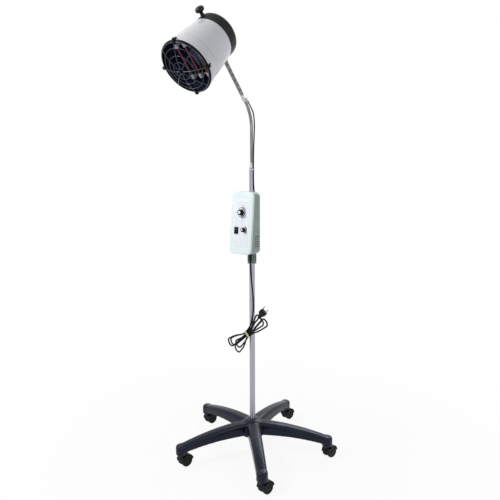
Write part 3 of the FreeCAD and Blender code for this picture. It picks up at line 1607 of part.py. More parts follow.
def make_plug(hank):
    """The moulded two-pin plug that stands out of the hank's upper end."""
    tail = hank.moved(S["hank_half_length"] * 0.92, -S["hank_half_width"] * 0.725, 0)
    plug = tail.moved(0, 0, 0, Z_AXIS, S["hank_slope"] - S["plug_slope"])
    wide = S["plug_half_width"]
    length = S["plug_length"]
    relief_length = S["plug_relief"]
    shoulder = relief_length + S["plug_shoulder"]
    tail_half = S["cord_radius"] + S["plug_tail_wall"]
    neck_half = S["cord_radius"] + S["plug_neck_wall"]
    outline = [
        (0, -tail_half),
        (relief_length, -neck_half),
        (shoulder, -wide),
        (length, -wide),
        (length, wide),
        (shoulder, wide),
        (relief_length, neck_half),
        (0, tail_half),
    ]
    body = padded(plug, "XY_Plane", outline, 2 * S["plug_half_depth"])
    seats = []
    pins = []
    for side in (-1, 1):
        root_place = plug.moved(length - S["pin_seat"], side * S["pin_half_pitch"], 0, Y_AXIS, 90)
        seats.append(cylinder(root_place, S["pin_radius"], S["pin_seat"] + PAST))
        pins.append(cylinder(root_place, S["pin_radius"], S["pin_length"] + S["pin_seat"]))
    sub_part("plug_body", cut(body, seats))
    sub_part("plug_pins", together(pins))


def check_and_write():
    """Recompute, test every object and every sub-part, then write the files."""
    doc.recompute()
    for thing in doc.Objects:
        if "Invalid" in thing.State or "Error" in thing.State:
            raise ValueError(f"{thing.Name} ({thing.Label}) failed: {thing.State}")
    for thing in NODES:
        if thing.Shape.isNull() or not thing.Shape.isValid():
            raise ValueError(f"{thing.Label} has no valid shape")
        if not thing.Shape.Solids:
            raise ValueError(f"{thing.Label} holds no solid")
    os.makedirs("parts", exist_ok=True)
    for thing in NODES:
        thing.Shape.exportStep(f"parts/{thing.Label}.step")
    print(len(NODES), "sub-parts written")


make_star_base()
make_caster_stems()
for caster_index in range(int(S["arm_count"].value)):
    make_caster(caster_index)
make_post()
make_bent_tube()
make_ferrule()
make_links()
make_bell()
make_box_shell()
make_box_cover()
make_label_plate()
make_controls()
make_board()
make_clamps()
make_lamp_shell()
make_rear_cap()
make_handle()
make_guard()
make_clips()
make_reflector()
make_lamp_tubes()
make_deck()
make_lamp_lead()
make_cord()
check_and_write()
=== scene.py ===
import math

import bmesh
import bpy
from mathutils import Matrix, Vector


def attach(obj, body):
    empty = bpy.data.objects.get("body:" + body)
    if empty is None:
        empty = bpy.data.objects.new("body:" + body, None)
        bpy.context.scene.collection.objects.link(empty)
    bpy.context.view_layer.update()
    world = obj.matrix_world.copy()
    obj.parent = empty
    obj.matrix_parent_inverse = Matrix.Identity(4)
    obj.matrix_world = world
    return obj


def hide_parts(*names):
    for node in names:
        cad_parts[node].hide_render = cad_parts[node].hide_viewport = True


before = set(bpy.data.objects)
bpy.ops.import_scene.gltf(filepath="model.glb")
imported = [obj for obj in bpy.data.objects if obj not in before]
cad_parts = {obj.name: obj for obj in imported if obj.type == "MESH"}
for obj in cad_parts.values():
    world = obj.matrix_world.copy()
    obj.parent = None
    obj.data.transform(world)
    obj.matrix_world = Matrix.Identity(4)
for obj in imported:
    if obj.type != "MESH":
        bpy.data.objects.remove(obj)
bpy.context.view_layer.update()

# Infrared hair color processor on a rolling stand.
# Tables are in millimetres and degrees, the objects in metres.
MM = 0.001
UPRIGHT = Matrix()


def spot(x, y, z):
    return Vector((x, y, z)) * MM


def shift(x=0, y=0, z=0):
    return Matrix.Translation(spot(x, y, z))


def turn(axis, degrees):
    return Matrix.Rotation(math.radians(degrees), 4, axis)


# Heights are above the floor. Distances along the neck start at its corner, and those in the head at its rim.
ARM_REACH = 300
ROOT_WIDTH, TIP_WIDTH = 52, 40
ROOT_TOP, TIP_TOP = 128, 89
ROOT_BOTTOM, TIP_BOTTOM = 74, 60
ARM_CROWN = 12
ARM_ROUND = 15
ARM_WALL = 4
ARM_ROOF = 12
ARM_CELLS = 5
WHEEL_RADIUS = 23
CASTER_HEADING = 84
BOX_BOTTOM = 817
TUBE_FOOT = 1110
NECK_CORNER = 1334
NECK_LEAN = 40.5
BEND_RADIUS = 150
FIRST_LINK = 80
LINK_PITCH = 20
LINKS = 6
BALL_RADIUS = 5.2
LEAD_SIDE = 11.4
NECK_SEAT = 170
HEAD_RISE = 303.7
CAP_RADIUS = 77
GUARD_RADIUS = 88
GUARD_BULGE = 24
GUARD_LEAD = 6.3
GUARD_TURN = 7
TUBE_DEPTH = 38
COIL_TURNS = 26

FACE_LEAN = math.degrees(math.atan(22 / 231))
NECK = shift(0, 0, NECK_CORNER) @ turn("X", NECK_LEAN)
HEAD = NECK @ shift(0, -NECK_SEAT, HEAD_RISE) @ turn("X", -90)
FACE = shift(0, -75, BOX_BOTTOM) @ turn("X", 90 - FACE_LEAN)
TIMER = FACE @ shift(4, 156, 0)
POWER = FACE @ shift(17, 92, 0)
SWITCH = FACE @ shift(-20, 88, 0.8)
CORD_EXIT = (14, -27, BOX_BOTTOM)
HANK = shift(3, -29.5, 498) @ turn("Y", -40) @ turn("X", -90)
PLUG = HANK @ shift(90.2, -21.75, 0) @ turn("Z", -11)
ARMS = [72 * index - 44.5 for index in range(5)]


# ---------------------------------------------------------------- node trees

def shown(name, data):
    """A new object that is linked to the scene."""
    made = bpy.data.objects.new(name, data)
    bpy.context.collection.objects.link(made)
    return made


class Graph:
    """Adds nodes to a tree. A value that is a socket is linked, and any other is set."""

    def __init__(self, tree):
        self.tree = tree

    def add(self, kind, settings=(), **inputs):
        node = self.tree.nodes.new(kind)
        for key, value in dict(settings).items():
            setattr(node, key, value)
        for key, value in inputs.items():
            self.feed(node.inputs[key.replace("_", " ")], value)
        return node

    def feed(self, socket, value):
        if isinstance(value, bpy.types.NodeSocket):
            self.tree.links.new(value, socket)
        else:
            socket.default_value = value

    def in_order(self, node, values):
        for socket, value in zip(node.inputs, values):
            self.feed(socket, value)
        return node.outputs[0]

    def math(self, operation, *values):
        return self.in_order(self.add("ShaderNodeMath", {"operation": operation}), values)

    def mixed(self, share, first, second):
        """One shader where the share is 0 and the other where it is 1."""
        return self.in_order(self.add("ShaderNodeMixShader"), (share, first, second))

    def between(self, value, low, high, start=0.3, end=0.7):
        """A value from start to end, brought to run from low to high."""
        return self.add(
            "ShaderNodeMapRange", Value=value, From_Min=start, From_Max=end, To_Min=low, To_Max=high
        ).outputs[0]

    def seen_rays(self):
        """1 for what the camera sees straight on, in a reflection or through glass."""
        path = self.add("ShaderNodeLightPath").outputs
        total = path["Is Camera Ray"]
        for label in ("Is Glossy Ray", "Is Transmission Ray"):
            total = self.math("ADD", total, path[label])
            total.node.use_clamp = True
        return total


class Surface(Graph):
    """One material, its shader and its Object coordinates."""

    def __init__(self, name):
        self.material = bpy.data.materials.new(name)
        self.material.use_nodes = True
        super().__init__(self.material.node_tree)
        self.shader = self.tree.nodes["Principled BSDF"]
        self.coordinates = self.add("ShaderNodeTexCoord").outputs["Object"]

    def stretched(self, scale, place=None):
        """Object coordinates, scaled by axis and centred on a place."""
        node = self.add("ShaderNodeMapping", {"vector_type": "TEXTURE"}, Vector=self.coordinates)
        if place is not None:
            node.inputs["Location"].default_value = place.to_translation()
            node.inputs["Rotation"].default_value = place.to_euler()
        node.inputs["Scale"].default_value = [1 / value for value in scale]
        return node.outputs[0]

    def noise(self, scale, detail, vector=None):
        vector = vector or self.coordinates
        return self.add("ShaderNodeTexNoise", Vector=vector, Scale=scale, Detail=detail).outputs["Fac"]

    def ramp(self, value, *stops):
        node = self.add("ShaderNodeValToRGB", Fac=value)
        for element, (position, colour) in zip(node.color_ramp.elements, stops):
            element.position = position
            element.color = colour
        return node.outputs["Color"]

    def bump(self, height, distance, strength=0.5, **under):
        node = self.add("ShaderNodeBump", Height=height, Distance=distance * MM, Strength=strength, **under)
        return node.outputs[0]

    def set(self, **inputs):
        for key, value in inputs.items():
            self.feed(self.shader.inputs[key.replace("_", " ")], value)


# ---------------------------------------------------------------- camera, light and floor

def set_camera():
    data = bpy.data.cameras.new("Camera")
    data.lens = 37.51
    data.sensor_width = 36
    camera = shown("Camera", data)
    aim = turn("Z", 39.45) @ turn("X", 90 - 8.82) @ turn("Z", -0.24)
    camera.matrix_world = Matrix.Translation((1.2519, -1.5332, 1.1312)) @ aim
    bpy.context.scene.camera = camera


def soft_light(name, place, target, size, watts, tint=(1, 1, 1)):
    data = bpy.data.lights.new(name, "AREA")
    data.shape = "RECTANGLE"
    data.size, data.size_y = size
    data.energy = watts
    data.color = tint
    way = Vector(target) - Vector(place)
    aim = way.to_track_quat("-Z", "Y").to_matrix().to_4x4()
    shown(name, data).matrix_world = Matrix.Translation(place) @ aim


def set_world():
    """A dim, cool sky on the object, behind which the camera and reflections see white."""
    world = bpy.data.worlds.new("Studio")
    bpy.context.scene.world = world
    world.use_nodes = True
    graph = Graph(world.node_tree)
    sky = world.node_tree.nodes["Background"]
    sky.inputs["Color"].default_value = (0.86, 0.92, 1, 1)
    sky.inputs["Strength"].default_value = 0.34
    backdrop = graph.add("ShaderNodeBackground", Color=(1, 1, 1, 1))
    choice = graph.mixed(graph.seen_rays(), sky.outputs[0], backdrop.outputs[0])
    graph.feed(world.node_tree.nodes["World Output"].inputs["Surface"], choice)


def set_floor():
    """A pale floor that shows the object's shadow near it and fades to white further out."""
    bm = bmesh.new()
    bmesh.ops.create_grid(bm, x_segments=8, y_segments=8, size=6)
    mesh = bpy.data.meshes.new("floor")
    bm.to_mesh(mesh)
    bm.free()
    paper = Surface("floor_paper")
    paper.set(Base_Color=(0.9, 0.9, 0.9, 1), Roughness=0.9, Specular_IOR_Level=0.1)
    reach = paper.add("ShaderNodeVectorMath", {"operation": "LENGTH"}, Vector=paper.coordinates)
    fade = paper.between(reach.outputs["Value"], 0.9, 1, 0.45, 1.3)
    share = paper.math("MULTIPLY", paper.seen_rays(), fade)
    glow = paper.add("ShaderNodeEmission")
    choice = paper.mixed(share, paper.shader.outputs[0], glow.outputs[0])
    paper.feed(paper.tree.nodes["Material Output"].inputs["Surface"], choice)
    mesh.materials.append(paper.material)
    shown("floor", mesh)


bpy.context.scene.view_settings.view_transform = "Standard"
set_camera()
set_world()
soft_light("Key", (-1.4, -2.3, 2.9), (0, 0, 1.0), (1.4, 1.6), 74)
soft_light("Side", (2.6, -0.4, 1.9), (0, 0, 0.9), (1.0, 1.8), 14, (1, 0.97, 0.92))
soft_light("Back", (-0.6, 2.4, 2.4), (0, 0, 1.0), (1.6, 1.2), 26)
set_floor()


# ---------------------------------------------------------------- finishes

# Plastic, rubber, paint, glaze, ink and painted shade: material, two tones out of 255, roughness and how far
# it drifts, specular level, blotches and grains to a metre, and the grain's depth.
DULL = {
    "base": ("moulded_nylon", (17, 20, 37), (9, 11, 21), 0.27, 0.06, 0.27, 14, 1500, 0.05),
    "hood": ("caster_hood_plastic", (24, 26, 34), (15, 16, 21), 0.24, 0.06, 0.16, 30, 1300, 0.02),
    "tread": ("caster_tread_rubber", (20, 20, 23), (11, 11, 13), 0.45, 0.06, 0.12, 30, 700, 0.05),
    # The collar's darker grey-green is painted shade: pale plastic darkened as it looks in the shade under
    # the box.
    "collar": ("collar_plastic", (118, 134, 130), (100, 115, 112), 0.42, 0.06, 0.5, 30, 1200, 0.03),
    "nylon": ("natural_nylon", (222, 226, 220), (206, 210, 203), 0.45, 0.06, 0.5, 30, 900, 0.02),
    "mint": ("cover_plastic", (240, 250, 248), (232, 246, 243), 0.3, 0.06, 0.5, 9, 1600, 0.02),
    # The box shell's grey-green is painted shade: the mint cover's plastic, darkened as it looks on the
    # shaded sides.
    "painted_box_shade": ("box_plastic", (166, 176, 172), (150, 160, 156), 0.44, 0.06, 0.5, 18, 1100, 0.06),
    "film": ("printed_film", (246, 248, 253), (240, 243, 249), 0.34, 0.06, 0.5, 12, 2200, 0.01),
    # Black ink is real print, and it also paints the knob body's shadow as a black crescent on the timer
    # skirt.
    "ink_and_painted_shadow": ("black_ink", (26, 28, 36), (36, 38, 46), 0.5, 0.06, 0.1, 30, 2400, 0.01),
    "faint": ("grey_ink", (168, 172, 178), (186, 190, 196), 0.5, 0.06, 0.5, 30, 2400, 0.01),
    "black": ("gloss_black_plastic", (18, 19, 25), (9, 9, 13), 0.18, 0.06, 0.2, 18, 700, 0.01),
    "white": ("gloss_enamel", (219, 219, 225), (206, 205, 204), 0.2, 0.03, 0.5, 7, 120, 0.004),
    "cap": ("charcoal_paint", (40, 39, 38), (27, 26, 25), 0.4, 0.06, 0.14, 20, 1500, 0.08),
    "rim": ("rim_rubber", (15, 16, 21), (8, 8, 12), 0.34, 0.06, 0.14, 30, 1200, 0.03),
    "ceramic": ("glazed_ceramic", (214, 213, 220), (196, 194, 202), 0.25, 0.06, 0.5, 60, 900, 0.02),
    "cord": ("cord_sheath", (13, 14, 20), (7, 7, 11), 0.36, 0.06, 0.13, 60, 1500, 0.03),
    "tie": ("tie_plastic", (206, 216, 176), (188, 200, 158), 0.4, 0.06, 0.5, 90, 900, 0.02),
}
DULL_MORE = {
    "base": {"Specular_Tint": (0.7, 0.82, 1, 1)},
    "nylon": {"Subsurface_Weight": 0.08},
    "white": {"Coat_Weight": 0.35, "Coat_Roughness": 0.06},
}
# Metal: material, two tones out of 1, roughness and its drift, blotches, grains and the grain's depth.
METAL = {
    "chrome": ("polished_chrome", (0.4, 0.405, 0.46), (0.33, 0.335, 0.385), 0.07, 0.03, 22, 160, 0.003),
    "tube": ("satin_chrome", (0.27, 0.285, 0.29), (0.2, 0.21, 0.215), 0.2, 0.05, 40, 500, 0.01),
    "neck": ("ribbed_neck_steel", (0.24, 0.255, 0.26), (0.16, 0.17, 0.175), 0.32, 0.05, 40, 700, 0.02),
    "zinc": ("zinc_plate", (0.55, 0.56, 0.57), (0.42, 0.42, 0.41), 0.38, 0.08, 60, 800, 0.02),
    "silver": ("satin_trim", (0.6, 0.61, 0.62), (0.5, 0.51, 0.53), 0.3, 0.05, 50, 900, 0.01),
    "wire": ("plated_wire", (0.12, 0.125, 0.15), (0.05, 0.055, 0.075), 0.16, 0.06, 70, 900, 0.01),
    "brass": ("nickel_plated_brass", (0.42, 0.42, 0.42), (0.3, 0.3, 0.3), 0.25, 0.06, 120, 900, 0.01),
}
DRAWN_LENGTHWISE = {"chrome": (1, 1, 0.04)}


def paint(red, green, blue):
    """A colour from its 0 to 255 screen values."""
    linear = []
    for value in (red, green, blue):
        share = value / 255
        linear.append(share / 12.92 if share <= 0.04045 else ((share + 0.055) / 1.055) ** 2.4)
    return (*linear, 1)


def plain_finish(name, colour, shade, rough, drift, blotches, grains, depth, stretch=None, **more):
    """A finish whose colour drifts between two tones, with uneven gloss and a fine surface grain."""
    made = Surface(name)
    vector = made.stretched(stretch) if stretch else None
    tone = made.ramp(made.noise(blotches, 4, vector), (0.3, colour), (0.72, shade))
    gloss = made.between(made.noise(blotches * 2.7, 5, vector), rough - drift, rough + drift)
    texture = made.bump(made.noise(grains, 2, vector), depth)
    made.set(Base_Color=tone, Roughness=gloss, Normal=texture, **more)
    return made.material


def reflector_finish():
    """Dark blue anodised aluminium, spun in fine rings about the lamp's axis."""
    made = Surface("spun_reflector")
    about = made.stretched((1, 1, 1), HEAD)
    x, y, z = made.add("ShaderNodeSeparateXYZ", Vector=about).outputs
    reach = made.math("SQRT", made.math("ADD", made.math("MULTIPLY", x, x), made.math("MULTIPLY", y, y)))
    rings = made.math("SINE", made.math("MULTIPLY", made.math("ADD", reach, z), 3100))
    tone = made.ramp(made.noise(26, 4), (0.3, paint(70, 82, 112)), (0.75, paint(42, 50, 72)))
    texture = made.bump(made.noise(420, 3), 0.04, 0.4, Normal=made.bump(rings, 0.12, 0.6))
    gloss = made.between(made.noise(90, 4), 0.2, 0.34)
    made.set(Base_Color=tone, Roughness=gloss, Normal=texture, Metallic=0.85)
    return made.material


def ruby_finish():
    """Red quartz that is clear enough to show the coil inside it."""
    made = Surface("ruby_quartz")
    tone = made.ramp(made.noise(40, 3), (0.3, (0.24, 0.008, 0.02, 1)), (0.75, (0.1, 0.004, 0.012, 1)))
    gloss = made.between(made.noise(180, 4), 0.04, 0.12)
    made.set(Base_Color=tone, Roughness=gloss, IOR=1.46, Transmission_Weight=0.4)
    return made.material


def board_finish():
    """A green circuit board with copper tracks under its lacquer."""
    made = Surface("circuit_board")
    brick = made.add(
        "ShaderNodeTexBrick", Vector=made.stretched((1, 0.4, 1)), Scale=90, Color1=paint(18, 92, 46),
        Color2=paint(22, 104, 52), Mortar=paint(96, 140, 70), Mortar_Size=0.035,
    )
    texture = made.bump(made.noise(900, 3), 0.03)
    gloss = made.between(made.noise(120, 4), 0.25, 0.4)
    made.set(Base_Color=brick.outputs["Color"], Roughness=gloss, Normal=texture)
    return made.material


FINISH = {"reflector": reflector_finish(), "ruby": ruby_finish(), "board": board_finish()}
for key, (name, tone, shade, rough, drift, specular, *grain) in DULL.items():
    more = {"Specular_IOR_Level": specular, **DULL_MORE.get(key, {})}
    FINISH[key] = plain_finish(name, paint(*tone), paint(*shade), rough, drift, *grain, **more)
for key, (name, tone, shade, rough, drift, *grain) in METAL.items():
    stretch = DRAWN_LENGTHWISE.get(key)
    FINISH[key] = plain_finish(name, (*tone, 1), (*shade, 1), rough, drift, *grain, stretch, Metallic=1.0)


# ---------------------------------------------------------------- forms: lists of points and faces, in metres

def rounded_corners(outline, steps=4):
    """A closed outline whose corners are rounded by the third number of each row."""
    rows = [tuple(row) + (0,) * (3 - len(row)) for row in outline]
    points = []
    for index, (x, y, ease) in enumerate(rows):
        corner = Vector((x, y))
        before = Vector(rows[index - 1][:2]) - corner
        after = Vector(rows[(index + 1) % len(rows)][:2]) - corner
        trim = min(ease, before.length * 0.48, after.length * 0.48)
        if trim <= 0:
            points.append(corner)
            continue
        start = corner + before.normalized() * trim
        end = corner + after.normalized() * trim
        for step in range(steps + 1):
            share = step / steps
            points.append(start * (1 - share) ** 2 + corner * 2 * share * (1 - share) + end * share ** 2)
    return points


def lathe(place, outline, around=96, steps=4):
    """A closed form of revolution about the place's Z axis from (radius, height, corner round) rows."""
    points, rings, faces = [], [], []
    for radius, height in rounded_corners(outline, steps):
        if radius < 1e-6:
            rings.append([len(points)] * around)
            points.append(place @ spot(0, 0, height))
            continue
        rings.append(list(range(len(points), len(points) + around)))
        for step in range(around):
            angle = math.tau * step / around
            points.append(place @ spot(radius * math.cos(angle), radius * math.sin(angle), height))
    for index, ring in enumerate(rings):
        after = rings[(index + 1) % len(rings)]
        if ring[0] == ring[1] and after[0] == after[1]:
            continue
        for step in range(around):
            along = (step + 1) % around
            corners = [ring[step], ring[along], after[along], after[step]]
            faces.append(tuple(dict.fromkeys(corners)))
    return points, faces


def rod(place, radius, low, high, around=24):
    """A closed rod along the place's Z axis, for hidden shafts and for what cuts a hole."""
    return lathe(place, [(0, low), (radius, low), (radius, high), (0, high)], around)


def tube_faces(rings, count):
    """The faces of a closed form through rings of points, all of the same count."""
    faces = []
    for ring in range(rings - 1):
        for step in range(count):
            a, b = ring * count + step, ring * count + (step + 1) % count
            faces.append((a, b, b + count, a + count))
    return faces


def sweep(path, radius, around=20):
    """A closed round rod along a path of points in metres. The radius may be a list, one for each point."""
    radii = radius if isinstance(radius, (list, tuple)) else [radius] * len(path)
    points = []
    ways = [(path[min(i + 1, len(path) - 1)] - path[max(i - 1, 0)]).normalized() for i in range(len(path))]
    side = ways[0].orthogonal().normalized()
    for centre, way, size in zip(path, ways, radii):
        side = (side - way * side.dot(way)).normalized()
        other = way.cross(side)
        for step in range(around):
            angle = math.tau * step / around
            points.append(centre + (side * math.cos(angle) + other * math.sin(angle)) * size * MM)
    last = (len(path) - 1) * around
    ends = [tuple(range(around)), tuple(range(last + around - 1, last - 1, -1))]
    return points, tube_faces(len(path), around) + ends


def loft(place, rings):
    """A closed form through rings of equal length."""
    count = len(rings[0])
    last = (len(rings) - 1) * count
    ends = [tuple(range(count - 1, -1, -1)), tuple(range(last, last + count))]
    points = [place @ spot(*point) for ring in rings for point in ring]
    return points, tube_faces(len(rings), count) + ends


def band_round(place, path, section):
    """A flat band along a closed path in the place's YZ plane: section x along X, y outward."""
    profile = rounded_corners(section, 2)
    sides = len(profile)
    points, faces = [], []
    for index, centre in enumerate(path):
        after = (index + 1) % len(path)
        along = (path[after] - path[index - 1]).normalized()
        outward = Vector((along.y, -along.x))
        for across, out in profile:
            spread = centre + outward * out
            points.append(place @ spot(across, spread.x, spread.y))
        for step in range(sides):
            beside = (step + 1) % sides
            near, far = index * sides, after * sides
            faces.append((near + step, near + beside, far + beside, far + step))
    return points, faces


def joined(forms):
    points, faces = [], []
    for more_points, more_faces in forms:
        start = len(points)
        points += list(more_points)
        faces += [tuple(corner + start for corner in face) for face in more_faces]
    return points, faces


def placed(place, form):
    points, faces = form
    return [place @ point for point in points], faces


def form_of(bm, place=None):
    if place is not None:
        bmesh.ops.transform(bm, matrix=place, verts=bm.verts)
    bm.verts.index_update()
    form = (
        [vert.co.copy() for vert in bm.verts],
        [tuple(vert.index for vert in face.verts) for face in bm.faces],
    )
    bm.free()
    return form


def mesh_of(form):
    mesh = bpy.data.meshes.new("work")
    points, faces = form
    mesh.from_pydata([tuple(point) for point in points], [], faces)
    return mesh


def taken(work):
    """The evaluated form of a work object, which is then removed."""
    graph = bpy.context.evaluated_depsgraph_get()
    mesh = bpy.data.meshes.new_from_object(work.evaluated_get(graph))
    form = ([vert.co.copy() for vert in mesh.vertices], [tuple(face.vertices) for face in mesh.polygons])
    bpy.data.objects.remove(work)
    bpy.data.meshes.remove(mesh)
    return form


def eased_edges(bm, width, steps=2):
    """Bevels the sharp edges of a closed form, with the width in millimetres."""
    bmesh.ops.recalc_face_normals(bm, faces=bm.faces)
    limit = math.radians(28)
    sharp = [edge for edge in bm.edges if len(edge.link_faces) == 2 and edge.calc_face_angle() > limit]
    if sharp and width > 0:
        bmesh.ops.bevel(
            bm, geom=sharp, offset=width * MM, segments=steps, profile=0.6, affect="EDGES", clamp_overlap=True
        )


def slab(place, outline, low, high, ease=0.5, steps=2):
    """A flat form from a closed outline in the place's XY plane, between two heights, with eased edges."""
    bm = bmesh.new()
    face = bm.faces.new([bm.verts.new(spot(point[0], point[1], low)) for point in outline])
    risen = bmesh.ops.extrude_face_region(bm, geom=[face])["geom"]
    top = [item for item in risen if isinstance(item, bmesh.types.BMVert)]
    bmesh.ops.translate(bm, vec=spot(0, 0, high - low), verts=top)
    eased_edges(bm, ease, steps)
    return form_of(bm, place)


def rectangle(half_width, half_height, corner=0, middle=(0, 0)):
    x, y = middle
    rows = [(x - half_width, y - half_height, corner), (x + half_width, y - half_height, corner)]
    rows += [(x + half_width, y + half_height, corner), (x - half_width, y + half_height, corner)]
    return rounded_corners(rows, 6)


def block(place, x, y, z, ease=0.5, steps=2):
    """A box between pairs of limits, with eased edges."""
    outline = [(x[0], y[0]), (x[1], y[0]), (x[1], y[1]), (x[0], y[1])]
    return slab(place, outline, *z, ease, steps)


def arc_form(place, inner, outer, start, end, low, high, grow=0.0):
    """A flat arc about the place's Z axis, in degrees. It may grow in width towards its end."""
    steps = 40
    outside, inside = [], []
    for step in range(steps + 1):
        share = step / steps
        angle = math.radians(start + (end - start) * share)
        wide = outer - (outer - inner) * (grow * (1 - share))
        outside.append((wide * math.cos(angle), wide * math.sin(angle)))
        inside.append((inner * math.cos(angle), inner * math.sin(angle)))
    return slab(place, outside + inside[::-1], low, high, 0)


def lettering(text, place, size):
    """Raised print of a short text, centred on its place."""
    data = bpy.data.curves.new("lettering", "FONT")
    data.body = text
    data.size = size * MM
    data.align_x = "CENTER"
    data.align_y = "CENTER"
    data.extrude = 0.04 * MM
    data.resolution_u = 3
    return placed(place, taken(shown("lettering", data)))


def smoothed(rows, rounds=3):
    """An open outline with its corners relaxed and its two ends kept."""
    for _ in range(rounds):
        middle = []
        for before, here, after in zip(rows, rows[1:], rows[2:]):
            middle.append(tuple((a + 2 * b + c) / 4 for a, b, c in zip(before, here, after)))
        rows = [rows[0]] + middle + [rows[-1]]
    return rows


def carved(form, tools):
    """A closed form with others cut out of it."""
    work = shown("work", mesh_of(form))
    tool = shown("tool", mesh_of(joined(tools)))
    for item in (work, tool):
        bm = bmesh.new()
        bm.from_mesh(item.data)
        bmesh.ops.recalc_face_normals(bm, faces=bm.faces)
        bm.to_mesh(item.data)
        bm.free()
    modifier = work.modifiers.new("Cut", "BOOLEAN")
    modifier.operation = "DIFFERENCE"
    modifier.solver = "EXACT"
    modifier.use_self = len(tools) > 1
    modifier.object = tool
    result = taken(work)
    bpy.data.objects.remove(tool)
    return result


# ---------------------------------------------------------------- Geometry Nodes for what repeats

def new_tree(name, *rows):
    """A geometry tree and its inputs. A row is (name, kind, starting value)."""
    tree = bpy.data.node_groups.new(name, "GeometryNodeTree")
    for way in ("OUTPUT", "INPUT"):
        tree.interface.new_socket("Geometry", in_out=way, socket_type="NodeSocketGeometry")
    for label, kind, value in rows:
        socket = tree.interface.new_socket(label, in_out="INPUT", socket_type=f"NodeSocket{kind}")
        socket.default_value = value
    tree.interface.new_socket("Finish", in_out="INPUT", socket_type="NodeSocketMaterial")
    return Graph(tree), tree.nodes.new("NodeGroupInput").outputs


def ended(graph, geometry, material):
    """Ends a tree in Realize Instances and Set Material."""
    real = graph.add("GeometryNodeRealizeInstances", Geometry=geometry)
    painted = graph.add("GeometryNodeSetMaterial", Geometry=real.outputs[0], Material=material)
    graph.add("NodeGroupOutput", Geometry=painted.outputs[0])
    return graph.tree


def run_tree(tree, form, finish_name, **inputs):
    """The form that a tree makes of another form, in that form's own axes."""
    work = shown("work", mesh_of(form))
    modifier = work.modifiers.new("Repeat", "NODES")
    modifier.node_group = tree
    keys = {item.name: item.identifier for item in tree.interface.items_tree if item.in_out == "INPUT"}
    modifier[keys["Finish"]] = FINISH[finish_name]
    for name, value in inputs.items():
        modifier[keys[name.replace("_", " ")]] = value
    return taken(work)


def repeat_tree():
    """Copies a form a number of times, each moved and turned on from the last, down to an end size."""
    graph, given = new_tree(
        "Repeated Form",
        ("Count", "Int", 6),
        ("Step", "Vector", (0, 0, 0)),
        ("Turn", "Vector", (0, 0, 0)),
        ("End Size", "Float", 1.0),
    )
    index = graph.add("GeometryNodeInputIndex").outputs[0]
    points = graph.add("GeometryNodeMeshLine", Count=given["Count"], Offset=(0, 0, 0))
    moves = []
    for name in ("Step", "Turn"):
        scaled = graph.add("ShaderNodeVectorMath", {"operation": "SCALE"}, Vector=given[name], Scale=index)
        moves.append(scaled.outputs[0])
    size = graph.between(index, 1, given["End Size"], 0, graph.math("SUBTRACT", given["Count"], 1))
    moved = graph.add("GeometryNodeSetPosition", Geometry=points.outputs[0], Position=moves[0])
    copies = graph.add(
        "GeometryNodeInstanceOnPoints",
        Points=moved.outputs[0], Instance=given["Geometry"], Rotation=moves[1], Scale=size,
    )
    return ended(graph, copies.outputs[0], given["Finish"])


REPEAT = repeat_tree()


def repeated(finish_name, place, form, count, step=(0, 0, 0), turns=(0, 0, 0), end_size=1.0):
    """Copies of a form made about the origin, then put in their place, with the name of their finish."""
    angles = [math.radians(angle) for angle in turns]
    made = run_tree(REPEAT, form, finish_name, Count=count, Step=spot(*step), Turn=angles, End_Size=end_size)
    return placed(place, made), finish_name


